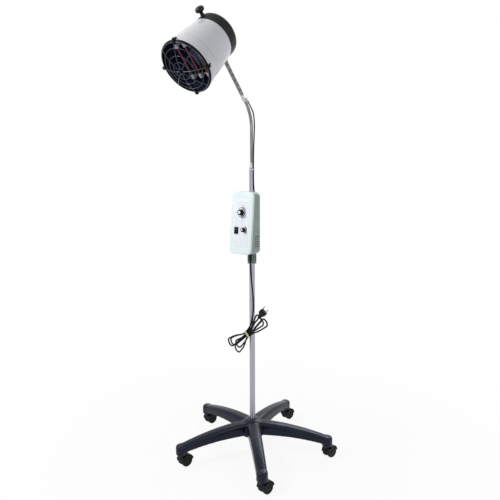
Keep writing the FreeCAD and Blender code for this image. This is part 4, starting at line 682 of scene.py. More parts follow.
def guard_tree():
    """A domed wire guard: a heavy outer ring, bowed spokes and lighter rings behind them."""
    graph, given = new_tree(
        "Domed Guard",
        ("Ring Radius", "Float", 0.088),
        ("Dome Radius", "Float", 0.1733),
        ("Dome Centre", "Float", 0.143),
        ("Wire", "Float", 0.0012),
        ("Outer Wire", "Float", 0.0015),
        ("Hub", "Float", 0.009),
        ("Spokes", "Int", 8),
        ("Lead", "Float", 0.0063),
        ("Start", "Float", 0.0),
    )
    outer_ring, dome, centre, wire, outer_wire, hub, spokes, lead, start = list(given)[1:10]
    value = graph.math

    def along_z(distance):
        return graph.add("ShaderNodeCombineXYZ", Z=distance).outputs[0]

    def round_wire(curve, radius):
        section = graph.add("GeometryNodeCurvePrimitiveCircle", Resolution=12, Radius=radius).outputs[0]
        wire = graph.add("GeometryNodeCurveToMesh", Curve=curve, Profile_Curve=section, Fill_Caps=True)
        return wire.outputs[0]

    def ring(radius, height, thickness):
        circle = graph.add("GeometryNodeCurvePrimitiveCircle", Resolution=144, Radius=radius).outputs[0]
        solid = round_wire(circle, thickness)
        return graph.add("GeometryNodeTransform", Geometry=solid, Translation=along_z(height)).outputs[0]

    join = graph.add("GeometryNodeJoinGeometry")
    graph.feed(join.inputs[0], ring(outer_ring, value("MULTIPLY", lead, -1.0), outer_wire))
    share = value("DIVIDE", value("SUBTRACT", dome, value("MULTIPLY", wire, 2.05)), dome)
    reaches = [value("ADD", hub, wire)]
    reaches += [value("MULTIPLY", outer_ring, part) for part in (0.34, 0.57, 0.82)]
    for reach in reaches:
        square = value("SUBTRACT", value("MULTIPLY", dome, dome), value("MULTIPLY", reach, reach))
        height = value("SUBTRACT", centre, value("MULTIPLY", value("SQRT", square), share))
        graph.feed(join.inputs[0], ring(value("MULTIPLY", reach, share), height, wire))

    inner = value("ARCSINE", value("DIVIDE", hub, dome))
    rim = value("SUBTRACT", outer_ring, value("MULTIPLY", outer_wire, 0.6))
    outer = value("ARCSINE", value("DIVIDE", rim, dome))
    arc = graph.add(
        "GeometryNodeCurveArc", Resolution=28, Radius=dome,
        Start_Angle=value("SUBTRACT", inner, math.pi / 2), Sweep_Angle=value("SUBTRACT", outer, inner),
    )
    spoke = graph.add(
        "GeometryNodeTransform", Geometry=round_wire(arc.outputs[0], wire),
        Translation=along_z(centre), Rotation=(math.pi / 2, 0, 0),
    )
    points = graph.add("GeometryNodeMeshLine", Count=spokes, Offset=(0, 0, 0))
    index = graph.add("GeometryNodeInputIndex").outputs[0]
    angle = value("ADD", value("MULTIPLY", index, value("DIVIDE", math.tau, spokes)), start)
    copies = graph.add(
        "GeometryNodeInstanceOnPoints",
        Points=points.outputs[0], Instance=spoke.outputs[0], Rotation=along_z(angle),
    )
    graph.feed(join.inputs[0], copies.outputs[0])
    return ended(graph, join.outputs[0], given["Finish"])


# ---------------------------------------------------------------- pieces

def declared(made, body, nodes):
    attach(made, body)
    if nodes:
        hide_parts(*nodes)
    return made


def piece(name, body, slot, parts, *nodes, smooth=32):
    """One finished piece from (form, finish name) pairs. It rides its body and stands for its CAD nodes."""
    bm = bmesh.new()
    mesh = bpy.data.meshes.new(name)
    for index, (form, finish_name) in enumerate(parts):
        work = mesh_of(form)
        first = len(bm.faces)
        bm.from_mesh(work)
        bpy.data.meshes.remove(work)
        bm.faces.ensure_lookup_table()
        for face in bm.faces[first:]:
            face.material_index = index
        mesh.materials.append(FINISH[finish_name])
    bmesh.ops.remove_doubles(bm, verts=bm.verts, dist=1e-7)
    bmesh.ops.recalc_face_normals(bm, faces=bm.faces)
    for face in bm.faces:
        face.smooth = True
    bm.to_mesh(mesh)
    bm.free()
    mesh.set_sharp_from_angle(angle=math.radians(smooth))
    return declared(shown(name, mesh), body, nodes)


def carried(finish_name, *nodes):
    """CAD nodes that stay as they are, with a finish of their own."""
    for node in nodes:
        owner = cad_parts[node]
        for place in owner.material_slots:
            place.material = FINISH[finish_name]
        if not owner.material_slots:
            owner.data.materials.append(FINISH[finish_name])


def from_cad(node, ease, steps=2):
    """A CAD node's own form, merged and with its sharp edges eased."""
    bm = bmesh.new()
    bm.from_mesh(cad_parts[node].data)
    bmesh.ops.remove_doubles(bm, verts=bm.verts, dist=2e-6)
    bmesh.ops.dissolve_limit(bm, angle_limit=math.radians(0.6), verts=bm.verts, edges=bm.edges)
    eased_edges(bm, ease, steps)
    return form_of(bm)


# ---------------------------------------------------------------- mains cord and lamp lead

CORD_DROP = [
    (14, -27, 821.5), (14, -27, 761), (17, -26, 720), (22, -25.5, 680), (28, -26.5, 638),
    (30.5, -28.5, 598),
]
COLUMNS = (-9.6, -3.2, 3.2, 9.6)
LAYERS = (-3.3, 3.3)
# The hank's turns in its own axes: side, reach, middle, half width, depth, and the (column, layer)
# of both strands.
TURNS = [
    (-1, 104, -15, 16.5, -9, (0, 0), (1, 0)),
    (1, 101, -4, 15.5, -5.4, (1, 0), (2, 0)),
    (-1, 101, 19, 16, 3.4, (2, 0), (3, 0)),
    (1, 109, 6.5, 15.5, 2, (3, 0), (3, 1)),
    (-1, 91, 4.5, 15.5, 9.6, (3, 1), (2, 1)),
    (1, 88, -22, 15.5, 9.6, (2, 1), (1, 1)),
    (-1, 97, -12.5, 15.5, -2.8, (1, 1), (0, 1)),
]
LEAD_LOWER = [
    (15.6, -1.5, 1291.6), (14.0, -2.5, 1246.6), (12.0, -3.7, 1185), (11.4, -3.7, 1133), (11.9, -3.7, 1078),
    (13.4, -3.3, 1054), (19.0, -2.7, 1028), (20.4, -5.2, 1014), (20.4, -22, 1014),
]


def hank_turn(side, reach, middle, half, depth, first, second):
    """The control points of one turn of the hank, from the tie out round its end and back to the tie."""
    points = []
    outward = 1 if first > second else -1
    for way, (column, layer) in ((1, first), (-1, second)):
        y, z = COLUMNS[column], LAYERS[layer]
        edge = middle + half * (outward * way)
        strand = [
            (side * 12, y, z),
            (side * 27, y * 0.85 + edge * 0.15, z * 0.35 + depth * 0.65),
            (side * 52, y * 0.3 + edge * 0.7, depth),
            (side * (reach - half), edge, depth),
            (side * (reach - half * 0.41), edge, depth),
            (side * reach, middle + (edge - middle) * 0.41, depth),
        ]
        points += strand[::way]
    return points


def cord_points():
    hank = [(49, -29, -1), (27, -14.5, -3)]
    for row in TURNS:
        hank += hank_turn(*row)
    hank += [(12, -9.6, 3.3), (36, -13.2, 2.6), (62, -17.4, 0.8), (82, -20.2, 0), (96, -22.9, 0)]
    return [spot(*point) for point in CORD_DROP] + [HANK @ spot(*point) for point in hank]


def lead_curve(name, points, radius):
    """A flexible lead as one open NURBS line through its control points."""
    data = bpy.data.curves.new(name, "CURVE")
    data.dimensions = "3D"
    data.resolution_u = 8
    data.bevel_depth = radius * MM
    data.bevel_resolution = 5
    data.use_fill_caps = True
    spline = data.splines.new("NURBS")
    spline.points.add(len(points) - 1)
    for control, point in zip(spline.points, points):
        control.co = (*point, 1)
    spline.order_u = 3
    spline.use_endpoint_u = True
    data.materials.append(FINISH["cord"])
    return shown(name, data)


def make_tie():
    """The twist tie: a band round the hank, its knot and two curled tails."""
    section = [(-4, 0, 0.3), (4, 0, 0.3), (4, 0.9, 0.3), (-4, 0.9, 0.3)]
    band = band_round(HANK, rectangle(13.2, 7, 4.5), section)
    steps = 8
    tails = []
    for lean in (-1, 1):
        path = []
        for share in [step / steps for step in range(steps + 1)]:
            rise = -7 * share - 2 * math.sin(share * 3) * lean
            swing = Vector((lean * 9 * share, rise, -2.4 * math.sin(share * 2.2)))
            path.append(HANK @ ((Vector((0, -9, -8.3)) + swing) * MM))
        tails.append((sweep(path, [1.3 - 0.25 * step / steps for step in range(steps + 1)], 10), "tie"))
    rows = [(0, -2.6), (2.2, -2.4, 0.8), (2.4, 2.4, 0.8), (0, 2.6)]
    knot = lathe(HANK @ shift(0, -9, -8) @ turn("X", 90), rows, 20)
    return piece("cord_twist_tie", "mast", "tie_pale", [(band, "tie"), (knot, "tie")] + tails, "cord_tie")


def make_plug():
    """The moulded plug with its shoulder and ribs, and its two pins."""
    outline = [
        (-2, -4, 1), (2, -4.2, 1), (14, -5.2, 1), (18.5, -11.5, 3), (23, -13, 2), (36.5, -13, 1.2),
        (38, -11, 0.8),
    ]
    outline += [(x, -y, ease) for x, y, ease in reversed(outline)]
    body = slab(PLUG, rounded_corners(outline), -7.2, 7.2, 2.2, 4)
    shoulder = slab(PLUG, rectangle(5.5, 10.4, 2, (29, 0)), -7.5, 7.5, 0.5)
    rib = lathe(turn("Y", 90), [(3, -0.75), (4.9, -0.75, 0.4), (4.9, 0.75, 0.4), (3, 0.75)], 32)
    ribs = repeated("cord", PLUG @ shift(3), rib, 4, (2.9, 0, 0), end_size=1.08)
    plug = piece("mains_plug", "mast", "cord_black", [(body, "cord"), (shoulder, "black"), ribs], "plug_body")
    parts = []
    for side in (-1, 1):
        start = PLUG @ shift(31, side * 9.5) @ turn("Y", 90)
        parts.append((lathe(start, [(0, 0), (2, 0), (2, 24.4, 1.2), (1.1, 26, 0.5), (0, 26)], 28), "brass"))
        parts.append((lathe(start, [(2, 6), (3.2, 6), (3.2, 7.8, 0.4), (2, 7.8)], 28), "black"))
    return plug, piece("mains_plug_pins", "mast", "pin_brass", parts, "plug_pins")


def make_cords():
    line = lead_curve("mains_cord", cord_points(), 3)
    cord = declared(line, "mast", ("cord_drop", "cord_hank"))
    tie = make_tie()
    plug, pins = make_plug()

    upper = [NECK @ spot(LEAD_SIDE, 0, along) for along in (61, 36, 10)]
    upper[-1] += spot(3.5, 1, -6)
    lead = lead_curve("lamp_lead_line", upper + [spot(*point) for point in LEAD_LOWER], 2.4)
    declared(lead, "mast", ("lamp_lead",))


# ---------------------------------------------------------------- star base and casters

def arm_ring(reach, inset=0.0, floor_drop=0.0):
    """The points of one section of an arm, with a crowned top and rounded upper edges."""
    share = reach / ARM_REACH
    crown = ARM_CROWN * 4 * share * (1 - share)
    half = (ROOT_WIDTH + (TIP_WIDTH - ROOT_WIDTH) * share) / 2 - inset
    top = ROOT_TOP + (TIP_TOP - ROOT_TOP) * share + crown - inset
    bottom = ROOT_BOTTOM + (TIP_BOTTOM - ROOT_BOTTOM) * share + crown - floor_drop
    upper, lower = ARM_ROUND - inset, 0 if inset else 2
    rows = [(half, bottom, lower), (half, top, upper), (-half, top, upper), (-half, bottom, lower)]
    return [(reach, point.x, point.y) for point in rounded_corners(rows, 5)]


def make_base():
    """The star base: arms, hub and tips grown into one another, then hollowed from below."""
    solids = [
        lathe(UPRIGHT, [(0, 68), (36, 68, 2), (36, 125, 12), (25, 133.4, 8), (0, 134)]),
        lathe(UPRIGHT, [(0, 72), (48, 72, 3), (46, 112, 14), (37, 126, 10), (0, 129)]),
    ]
    tip = [(0, 50), (19.6, 50, 1), (21.2, 52, 1), (21.2, 89.8, 18), (0, 89.8)]
    first_cell, last_cell, half_rib = 42.0, 274.0, 1.5
    span = (last_cell - first_cell) / ARM_CELLS
    cells = []
    for angle in ARMS:
        arm = turn("Z", angle)
        solids.append(loft(arm, [arm_ring(reach) for reach in range(0, ARM_REACH + 1, 20)]))
        solids.append(lathe(arm @ shift(ARM_REACH), tip, 56, 8))
        for cell in range(ARM_CELLS):
            low, high = first_cell + cell * span + half_rib, first_cell + (cell + 1) * span - half_rib
            reaches = [low + (high - low) * k / 3 for k in range(4)]
            cells.append(loft(arm, [arm_ring(reach, ARM_WALL, ARM_ROOF) for reach in reaches]))
        cells.append(rod(arm @ shift(ARM_REACH), 5.55, 38, 80))
    cells += [rod(UPRIGHT, 11.05, 80, 152, 64), rod(UPRIGHT, 4.05, 42, 81)]
    cells.append(lathe(UPRIGHT, [(24, 52), (33, 52), (33, 73), (24, 73)], 48))
    work = shown("work", mesh_of(joined(solids)))
    grown = work.modifiers.new("Grown", "REMESH")
    grown.mode = "VOXEL"
    grown.voxel_size = 0.0026
    relaxed = work.modifiers.new("Relaxed", "SMOOTH")
    relaxed.factor = 0.5
    relaxed.iterations = 14
    form = carved(taken(work), cells)
    piece("star_base_moulding", "stand", "base_nylon", [(form, "base")], "star_base", smooth=40)


def make_casters():
    wheel = [
        (3, 3.8), (19.6, 3.8, 1.5), (WHEEL_RADIUS, 6.5, 2), (WHEEL_RADIUS, 16.3, 2.6), (19.8, 19.3, 1),
        (18.6, 18.6, 0.5), (8, 17.8, 1), (7, 19.2, 0.8), (3, 19.2),
    ]
    spoke = block(UPRIGHT, (9, 17.6), (-0.7, 0.7), (17.4, 18.5), 0.3, 1)
    for index, angle in enumerate(ARMS, 1):
        here = turn("Z", angle) @ shift(ARM_REACH) @ turn("Z", CASTER_HEADING - angle)
        hood = f"caster_hood_{index}"
        washer = lathe(here, [(5.6, 47.8), (10.6, 47.8, 0.5), (10.6, 49.6, 0.5), (5.6, 49.6)], 40)
        parts = [(from_cad(hood, 0.9, 3), "hood"), (washer, "zinc")]
        piece(f"caster_hood_cover_{index}", f"caster_swivel_{index}", "caster_black", parts, hood)

        axle = here @ shift(17, 0, WHEEL_RADIUS) @ turn("X", 90)
        parts = []
        for side in (0, 180):
            face = axle @ turn("X", side)
            boss = lathe(face, [(0, 18.6), (4.6, 18.6), (4.4, 19.2, 0.4), (0, 19.6)], 28)
            spokes = repeated("hood", face, spoke, 6, turns=(0, 0, 60))
            parts += [(lathe(face, wheel, 64, 5), "tread"), spokes, (boss, "hood")]
        parts.append((rod(axle, 3, -17, 17), "zinc"))
        wheels = f"caster_wheels_{index}"
        piece(f"caster_wheel_pair_{index}", f"caster_roller_{index}", "caster_tread", parts, wheels)


# ---------------------------------------------------------------- post and neck

def make_post():
    lower = [(9.8, 80), (11, 80), (11, 778, 0.6), (9.8, 778)]
    piece("lower_post_tube", "stand", "chrome_tube", [(lathe(UPRIGHT, lower), "chrome")], "lower_pole")
    upper = [(8.3, 398), (9.5, 398, 0.4), (9.5, 1135, 0.4), (8.3, 1135)]
    piece("upper_post_tube", "mast", "chrome_tube", [(lathe(UPRIGHT, upper), "chrome")], "upper_pole")

    collar = [(14.06, 774), (16.3, 774, 0.5), (17.2, 775.6, 0.8), (17.2, 780, 0.4), (16.5, 780.8, 0.3)]
    collar += [(16.5, 806.2, 0.3), (17.2, 807, 0.4), (17.2, 811.4, 0.8), (16.3, 813, 0.5), (14.06, 813)]
    rib = block(UPRIGHT, (16.2, 17.2), (-0.75, 0.75), (781.4, 805.6), 0.35)
    ribs = repeated("collar", UPRIGHT, rib, 28, turns=(0, 0, 360 / 28))
    # The collar's grey-green finish is pale plastic with painted shade from under the box.
    parts = [(lathe(UPRIGHT, collar, 112), "collar"), ribs]
    piece("lock_collar_grip", "collar", "collar_grey", parts, "lock_collar")

    collet = [
        (11, 771.7), (16.8, 771.7, 0.6), (16.8, 773.7, 0.4), (14, 773.7), (14, 813.3),
        (16.8, 813.3, 0.4),
    ]
    collet += [(16.6, 815.3, 0.6), (9.56, 815.3, 0.3), (9.56, 778), (11, 778)]
    piece("collet_sleeve", "stand", "collet_nylon", [(lathe(UPRIGHT, collet), "nylon")], "pole_collet")

    reducer = [(6, TUBE_FOOT), (8.3, TUBE_FOOT, 0.4), (8.3, 1135), (9.5, 1135), (9.5, 1140, 1)]
    reducer += [(7.6, 1150.4, 2), (7.6, 1155, 0.8), (6, 1155, 0.2)]
    band = [(9.3, 1135.6), (9.85, 1135.6, 0.25), (9.85, 1137.4, 0.25), (9.3, 1137.4)]
    parts = [(lathe(UPRIGHT, reducer, 80), "nylon"), (lathe(UPRIGHT, band, 80), "silver")]
    piece("post_reducer_bush", "mast", "silver_trim", parts, "pole_reducer")


def make_neck_tube():
    """The bent tube: straight up from the post, round its bend and straight along the neck."""
    tangent = BEND_RADIUS * math.tan(math.radians(NECK_LEAN / 2))
    bend_start = NECK_CORNER - tangent
    rows = [spot(0, 0, TUBE_FOOT + (bend_start - TUBE_FOOT) * k / 8) for k in range(8)]
    for step in range(33):
        lean = math.radians(NECK_LEAN * step / 32)
        across = BEND_RADIUS * math.cos(lean) - BEND_RADIUS
        rows.append(spot(0, across, bend_start + BEND_RADIUS * math.sin(lean)))
    rows += [NECK @ spot(0, 0, tangent + (68 - tangent) * k / 3) for k in range(1, 4)]
    piece("bent_neck_tube", "mast", "chrome_tube", [(sweep(rows, 6, 48), "tube")], "bent_tube")

    ferrule = [
        (6, 56), (8.6, 56, 0.5), (8.6, 72.5, 0.8), (7.5, 75, 0.6), (7.5, 83, 0.4), (1.6, 83), (1.6, 68),
        (6, 68),
    ]
    hollow = [(0, 74.8), (3.2, 75.4, 1), (5.3, 79.5, 1), (5.3, 81.5, 1), (4.6, 84, 0.5), (0, 84)]
    socket = lathe(NECK, hollow, 48)
    groove = [(8.4, 66.2), (8.95, 66.2, 0.2), (8.95, 68.4, 0.2), (8.4, 68.4)]
    rows = [(2.4, 0), (3.8, 0, 0.4), (3.8, 8, 1.2), (2.4, 9.4, 0.3)]
    boss = lathe(NECK @ shift(LEAD_SIDE, 0, 56), rows, 32)
    bridge = slab(NECK, rectangle(2.2, 2.6, 1, (9.6, 0)), 57, 63.5, 0.4)
    forms = [carved(lathe(NECK, ferrule, 80), [socket]), lathe(NECK, groove, 80), boss, bridge]
    piece("neck_ferrule_sleeve", "mast", "silver_trim", [(form, "silver") for form in forms], "neck_ferrule")
    piece("lead_strap", "mast", "tie_pale", [(from_cad("lead_tie", 0.25), "nylon")], "lead_tie")


def neck_ball(place):
    """The hollow ball at the lower end of each part of the flexible neck."""
    angles = [math.radians(degrees) for degrees in range(-70, 51, 10)]
    ball = [(BALL_RADIUS * math.cos(angle), BALL_RADIUS * math.sin(angle)) for angle in angles]
    return lathe(place, [(1.6, -4.95)] + ball + [(3.2, 4.4), (3.2, 6), (1.6, 6)], 48)


def make_links():
    barrel = [
        (1.6, 4.9), (6.5, 4.9, 0.8), (7.5, 6.6, 0.9), (7.5, 9.2, 0.3), (7.1, 9.7, 0.2), (7.1, 10.5, 0.2),
    ]
    barrel += [
        (7.5, 11, 0.3), (7.5, 22.2, 0.7), (6.9, 23, 0.4), (4.4, 23, 0.2), (5.3, 20.4, 1.2),
        (4.6, 17.4, 1.2),
    ]
    barrel.append((1.6, 15))
    for index in range(LINKS):
        here = NECK @ shift(0, 0, FIRST_LINK + index * LINK_PITCH)
        parts = [(joined([lathe(here, barrel, 64), neck_ball(here)]), "neck")]
        number = index + 1
        name = f"neck_barrel_{number}"
        piece(name, f"link_{number}", "silver_trim", parts, f"neck_link_{number}", smooth=40)

    bell_start = FIRST_LINK + LINKS * LINK_PITCH
    here = NECK @ shift(0, 0, bell_start)
    seat = HEAD_RISE - CAP_RADIUS - bell_start
    bell = [(1.6, 4.9), (6.9, 4.9, 0.6), (7.7, 7, 2), (8.2, 12.5, 5), (10.7, 20, 7), (15.5, seat - 2.6, 5)]
    bell += [(17.5, seat + 0.5, 1.4), (17.5, seat + 4), (1.6, seat + 4)]
    drum = rod(HEAD, CAP_RADIUS, 140, 220, 160)
    parts = [(carved(lathe(here, bell, 80, 6), [drum]), "neck"), (neck_ball(here), "neck")]
    piece("neck_bell_flare", "head", "silver_trim", parts, "neck_bell", smooth=40)


# ---------------------------------------------------------------- control box

def face_prints():
    """The printed lines, arcs, ticks and generic numbers on the face."""
    top = 0.8
    mark = (top, top + 0.08)
    lift = top + 0.04
    timer_tick = slab(UPRIGHT, rectangle(1.1, 0.28, 0, (22.2, 0)), *mark, 0)
    power_tick = slab(UPRIGHT, rectangle(0.9, 0.22, 0, (12.6, 0)), *mark, 0)
    prints = [
        (slab(FACE, rectangle(25, 0.35, 0.1, (4, 192)), *mark, 0), "faint"),
        (arc_form(TIMER, 18.6, 20.2, -150, -30, *mark), "ink_and_painted_shadow"),
        (arc_form(TIMER, 18.6, 20.2, 30, 150, *mark), "ink_and_painted_shadow"),
        repeated("faint", TIMER, timer_tick, 24, turns=(0, 0, 15)),
    ]
    for number, degrees in (("0", 90), ("15", 0), ("30", 270), ("45", 180)):
        angle = math.radians(degrees)
        place = TIMER @ shift(26.6 * math.cos(angle), 26.6 * math.sin(angle), lift)
        prints.append((lettering(number, place, 5.2), "ink_and_painted_shadow"))
    prints.append((arc_form(POWER, 11, 14.8, -68, 68, *mark, 0.35), "ink_and_painted_shadow"))
    prints.append(repeated("faint", POWER @ turn("Z", 105), power_tick, 8, turns=(0, 0, 22)))
    words = (("0", 9.5, 77.5, 4), ("10", 25, 77.5, 4), ("ON", -20, 104.2, 3.8), ("OFF", -20, 71.5, 3.8))
    for text, x, y, size in words:
        prints.append((lettering(text, FACE @ shift(x, y, lift), size), "faint"))
    prints.append((slab(FACE, rectangle(9, 0.3, 0.1, (-2, 123)), *mark, 0), "faint"))
    prints.append((rod(FACE @ shift(-17, 47, top), 1.7, 0, 0.08, 28), "faint"))
    return prints


def flutes(place, outline, reach, count):
    """Thin upright ribs round a knob."""
    rib = placed(shift(reach), lathe(UPRIGHT, outline, 10, 2))
    return repeated("black", place, rib, count, turns=(0, 0, 360 / count))


def make_dials():
    skirt = [(0, 1.1), (17.2, 1.1, 0.4), (17.5, 2.6, 0.4), (16.8, 4.3, 0.8), (0, 4.6)]
    body = [
        (0, 4.2), (11.6, 4.2), (11.6, 5, 0.6), (10.1, 6.4, 1), (9.5, 17.2, 0.6), (9, 18.2, 0.5),
        (0, 18.2),
    ]
    line = slab(TIMER @ turn("Z", 90), rectangle(0.5, 1.8, 0.2, (0, 13.6)), 4.2, 4.9, 0.1, 1)
    parts = [
        (lathe(TIMER, skirt), "film"),
        (lathe(TIMER, body), "black"),
        flutes(TIMER, [(0, 6.2), (0.75, 6.4, 0.2), (0.65, 17.2, 0.3), (0, 17.5)], 9.8, 28),
        (lathe(TIMER, [(0, -20), (3, -20, 0.5), (3, 2), (0, 2)], 32), "zinc"),
        (line, "ink_and_painted_shadow"),
        # Painted shadow: a black crescent on the white skirt, widening to one side, where the knob body's
        # shadow falls. It turns with the knob.
        (arc_form(TIMER, 14.3, 17.45, -105, 80, 2.4, 4.9, 0.5), "ink_and_painted_shadow"),
    ]
    piece("timer_dial_knob", "timer_dial", "black_plastic", parts, "timer_knob")
    cap = [
        (0, 18.1), (5.7, 18.1), (5.9, 18.5, 0.2), (5.6, 19.4, 0.4), (4.8, 19.5, 0.2), (4.4, 19.25, 0.2),
        (0, 19.7),
    ]
    piece("timer_dial_cap", "timer_dial", "silver_trim", [(lathe(TIMER, cap, 64), "film")], "timer_knob_cap")

    knob = [
        (0, 1.1), (8.8, 1.1, 0.3), (9, 2.2, 0.4), (7.4, 4, 0.8), (6.6, 13.4, 0.6), (6.2, 14.1, 0.4),
        (0, 14.1),
    ]
    parts = [
        (lathe(POWER, knob, 72), "black"),
        flutes(POWER, [(0, 3.8), (0.6, 4, 0.2), (0.5, 13, 0.3), (0, 13.3)], 7, 18),
        (lathe(POWER, [(0, -14), (3, -14, 0.5), (3, 2), (0, 2)], 32), "zinc"),
        (lathe(POWER, [(0, 14), (3.3, 14), (3.4, 14.7, 0.3), (0, 15)], 48), "film"),
        (slab(POWER, rectangle(0.4, 1.2, 0.2, (0, 7.6)), 2.9, 4, 0.1, 1), "film"),
    ]
    piece("power_dial_knob", "power_dial", "black_plastic", parts, "power_knob")


def make_rocker():
    rocker_case = (from_cad("switch_case", 0.4, 3), "black")
    piece("rocker_frame", "mast", "black_plastic", [rocker_case], "switch_case")
    tilted = SWITCH @ shift(0, 0, -2) @ turn("X", 7)
    side = [
        (-9.2, 0.4, 0.3), (-1.5, -3.5), (1.5, -3.5), (9.2, 0.4, 0.3), (9.2, 3.4, 0.8), (0, 4.1, 5),
        (-9.2, 3.4, 0.8),
    ]
    on_its_side = Matrix(((0, 0, 1, 0), (1, 0, 0, 0), (0, 1, 0, 0), (0, 0, 0, 1)))
    key = slab(tilted @ on_its_side, rounded_corners(side), -6.1, 6.1, 0.35)
    grip = slab(UPRIGHT, rectangle(4.6, 0.3, 0.1), 3.4, 4.0, 0.1, 1)
    parts = [
        (key, "black"),
        repeated("black", tilted @ shift(0, -7.6), grip, 3, (0, 1.3, 0.06)),
        (rod(tilted @ turn("Y", 90), 1.2, -7.6, 7.6, 20), "black"),
        (slab(tilted, rectangle(0.35, 1.7, 0.1, (0, 5.2)), 3.5, 4.15, 0.05, 1), "film"),
    ]
    piece("rocker_switch_key", "rocker_key", "black_plastic", parts, "rocker")


def make_screws():
    """The four box screws and the four clamp screws, each with a cross cut into its head."""
    cross = ((-0.35, 0.35), (-1.9, 1.9))
    slots = [block(UPRIGHT, x, y, (-1.8, -0.7), 0) for x, y in (cross, cross[::-1])]
    # Head outline, length, distance from the middle, depth, lowest height and distance apart.
    rows = (
        ([(0, -1.6), (2.2, -1.6, 0.6), (3.2, -0.4, 0.3), (3.2, 0), (0, 0)], 29, 37, -16, 832, 201),
        ([(0, -2), (2.4, -2, 0.7), (3.2, -0.6, 0.4), (3.2, 0), (0, 0)], 31, 13, 15, 858, 150),
    )
    parts = []
    for head, length, across, y, low, apart in rows:
        shank = lathe(UPRIGHT, [(0, -0.5), (1.6, -0.5), (1.6, length - 0.6, 0.5), (0, length)], 20)
        screw = joined([carved(lathe(UPRIGHT, head, 32), slots), shank])
        for x in (-across, across):
            parts.append(repeated("zinc", shift(x, y, low) @ turn("X", 90), screw, 2, (0, apart, 0)))
    piece("box_fixing_screws", "mast", "zinc_steel", parts, "box_screws")


def make_box():
    # The shell's grey-green finish is the mint cover plastic with painted shade.
    piece("control_box_shell", "mast", "box_grey", [(from_cad("box_shell", 0.35), "painted_box_shade")], "box_shell")
    piece("control_box_cover", "mast", "box_mint", [(from_cad("box_cover", 0.35), "mint")], "box_cover")
    plate = (from_cad("label_plate", 0.2), "film")
    piece("face_plate", "mast", "label_film", [plate] + face_prints(), "label_plate")
    make_dials()
    make_rocker()
    clamps = (from_cad("post_clamps", 1.2, 3), "cord")
    piece("post_clamp_saddles", "mast", "black_plastic", [clamps], "post_clamps")
    make_screws()

    place = shift(*CORD_EXIT)
    relief = [
        (3, -36), (3.9, -36, 0.4), (5.4, -3, 1.5), (5.6, 0), (4.2, 0), (4.2, 2.5), (5.6, 2.5),
        (5.6, 5.5, 0.5),
    ]
    relief.append((3, 5.5))
    rib = lathe(UPRIGHT, [(3, -1.1), (6.1, -1.1, 0.5), (6.1, 1.1, 0.5), (3, 1.1)], 40)
    ribs = repeated("cord", place @ shift(0, 0, -4), rib, 7, (0, 0, -4.6), end_size=0.72)
    parts = [(lathe(place, relief, 48), "cord"), ribs]
    piece("cord_strain_relief", "mast", "cord_black", parts, "cord_relief")


# ---------------------------------------------------------------- lamp head

def cone(back):
    """Outer radius of the shell at a distance behind the front rim."""
    return 92.7 - 14.7 * back / 151


def make_shell():
    shell = [(cone(39.6) - 2, 39.4), (cone(39.6), 39.4, 0.7), (cone(149), 149, 0.8)]
    shell += [(cone(151) - 1, 151, 0.6), (cone(151) - 2, 151)]
    piece("lamp_housing_shell", "head", "shell_white", [(lathe(HEAD, shell, 192), "white")], "lamp_shell")
    bezel = [(cone(0) - 2, 0), (cone(0), 0, 0.8), (cone(38.6), 38.6, 0.7), (cone(38.6) - 2, 38.6, 0.2)]
    bezel += [(cone(47) - 2, 47), (cone(47) - 4, 47, 0.5), (cone(33) - 4, 33, 0.5), (cone(31) - 2, 31, 1)]
    piece("front_bezel_ring", "head", "shell_white", [(lathe(HEAD, bezel, 192), "white")], "front_bezel")
    rim = [
        (85, -4.5, 0.6), (91.7, -4.5, 1.4), (93.3, -2.9, 1), (93.3, 0, 0.6), (90.7, 0), (90.4, 3, 0.5),
        (85, 3, 0.5),
    ]
    piece("rim_gasket", "head", "rim_black", [(lathe(HEAD, rim, 192), "rim")], "rim_ring")


def make_cap_and_grip():
    cap = [
        (73, 143), (76, 143, 0.5), (76, 151), (CAP_RADIUS, 151, 0.8), (CAP_RADIUS, 187, 5),
        (74.3, 193.3, 4),
    ]
    cap += [
        (68, 196, 3), (30, 196, 0.5), (29, 194.8, 0.5), (0, 194.8), (0, 193), (67, 193, 3), (74, 187, 5),
        (73, 154),
    ]
    slit = rounded_corners([(26, -1.6, 1.5), (48, -1.6, 1.5), (48, 1.6, 1.5), (26, 1.6, 1.5)])
    vent = slab(UPRIGHT, slit, 188, 199, 0)
    vents, _ = repeated("cap", HEAD, vent, 12, turns=(0, 0, 30))
    neck_side = HEAD @ shift(0, 0, NECK_SEAT) @ turn("X", -90)
    grip_side = HEAD @ shift(0, 0, NECK_SEAT) @ turn("X", 90)
    holes = [rod(neck_side, 3.6, 66, 84, 28), rod(grip_side, 2.7, 66, 84, 28)]
    form = carved(carved(lathe(HEAD, cap, 160, 6), [vents]), holes)
    bead = lathe(HEAD, [(76.8, 152.2), (77.5, 152.2, 0.3), (77.5, 154.4, 0.3), (76.8, 154.4)], 160)
    piece("rear_cap_cover", "head", "cap_charcoal", [(form, "cap"), (bead, "cap")], "rear_cap")

    knob = [(0, 73.5), (9, 73.5), (9, 78.3, 0.8), (7, 80.6, 1.6), (6.2, 85, 3), (6.6, 89.5, 2), (9.5, 92, 2)]
    knob += [(14.6, 93.4, 2), (16, 97, 3), (15.4, 103.2, 4), (10.5, 108, 5), (4, 109.4, 3), (0, 109.4)]
    drum = rod(HEAD, CAP_RADIUS, 140, 220, 160)
    hexagon = [(6 * math.cos(math.tau * side / 6), 6 * math.sin(math.tau * side / 6)) for side in range(6)]
    parts = [
        (carved(lathe(grip_side, knob, 80, 6), [drum]), "black"),
        (lathe(grip_side, [(0, 69), (2.6, 69, 0.4), (2.6, 77), (0, 77)], 28), "zinc"),
        (slab(grip_side, hexagon, 69.3, 72.8, 0.4), "zinc"),
    ]
    piece("aiming_grip", "head", "black_plastic", parts, "aiming_handle")


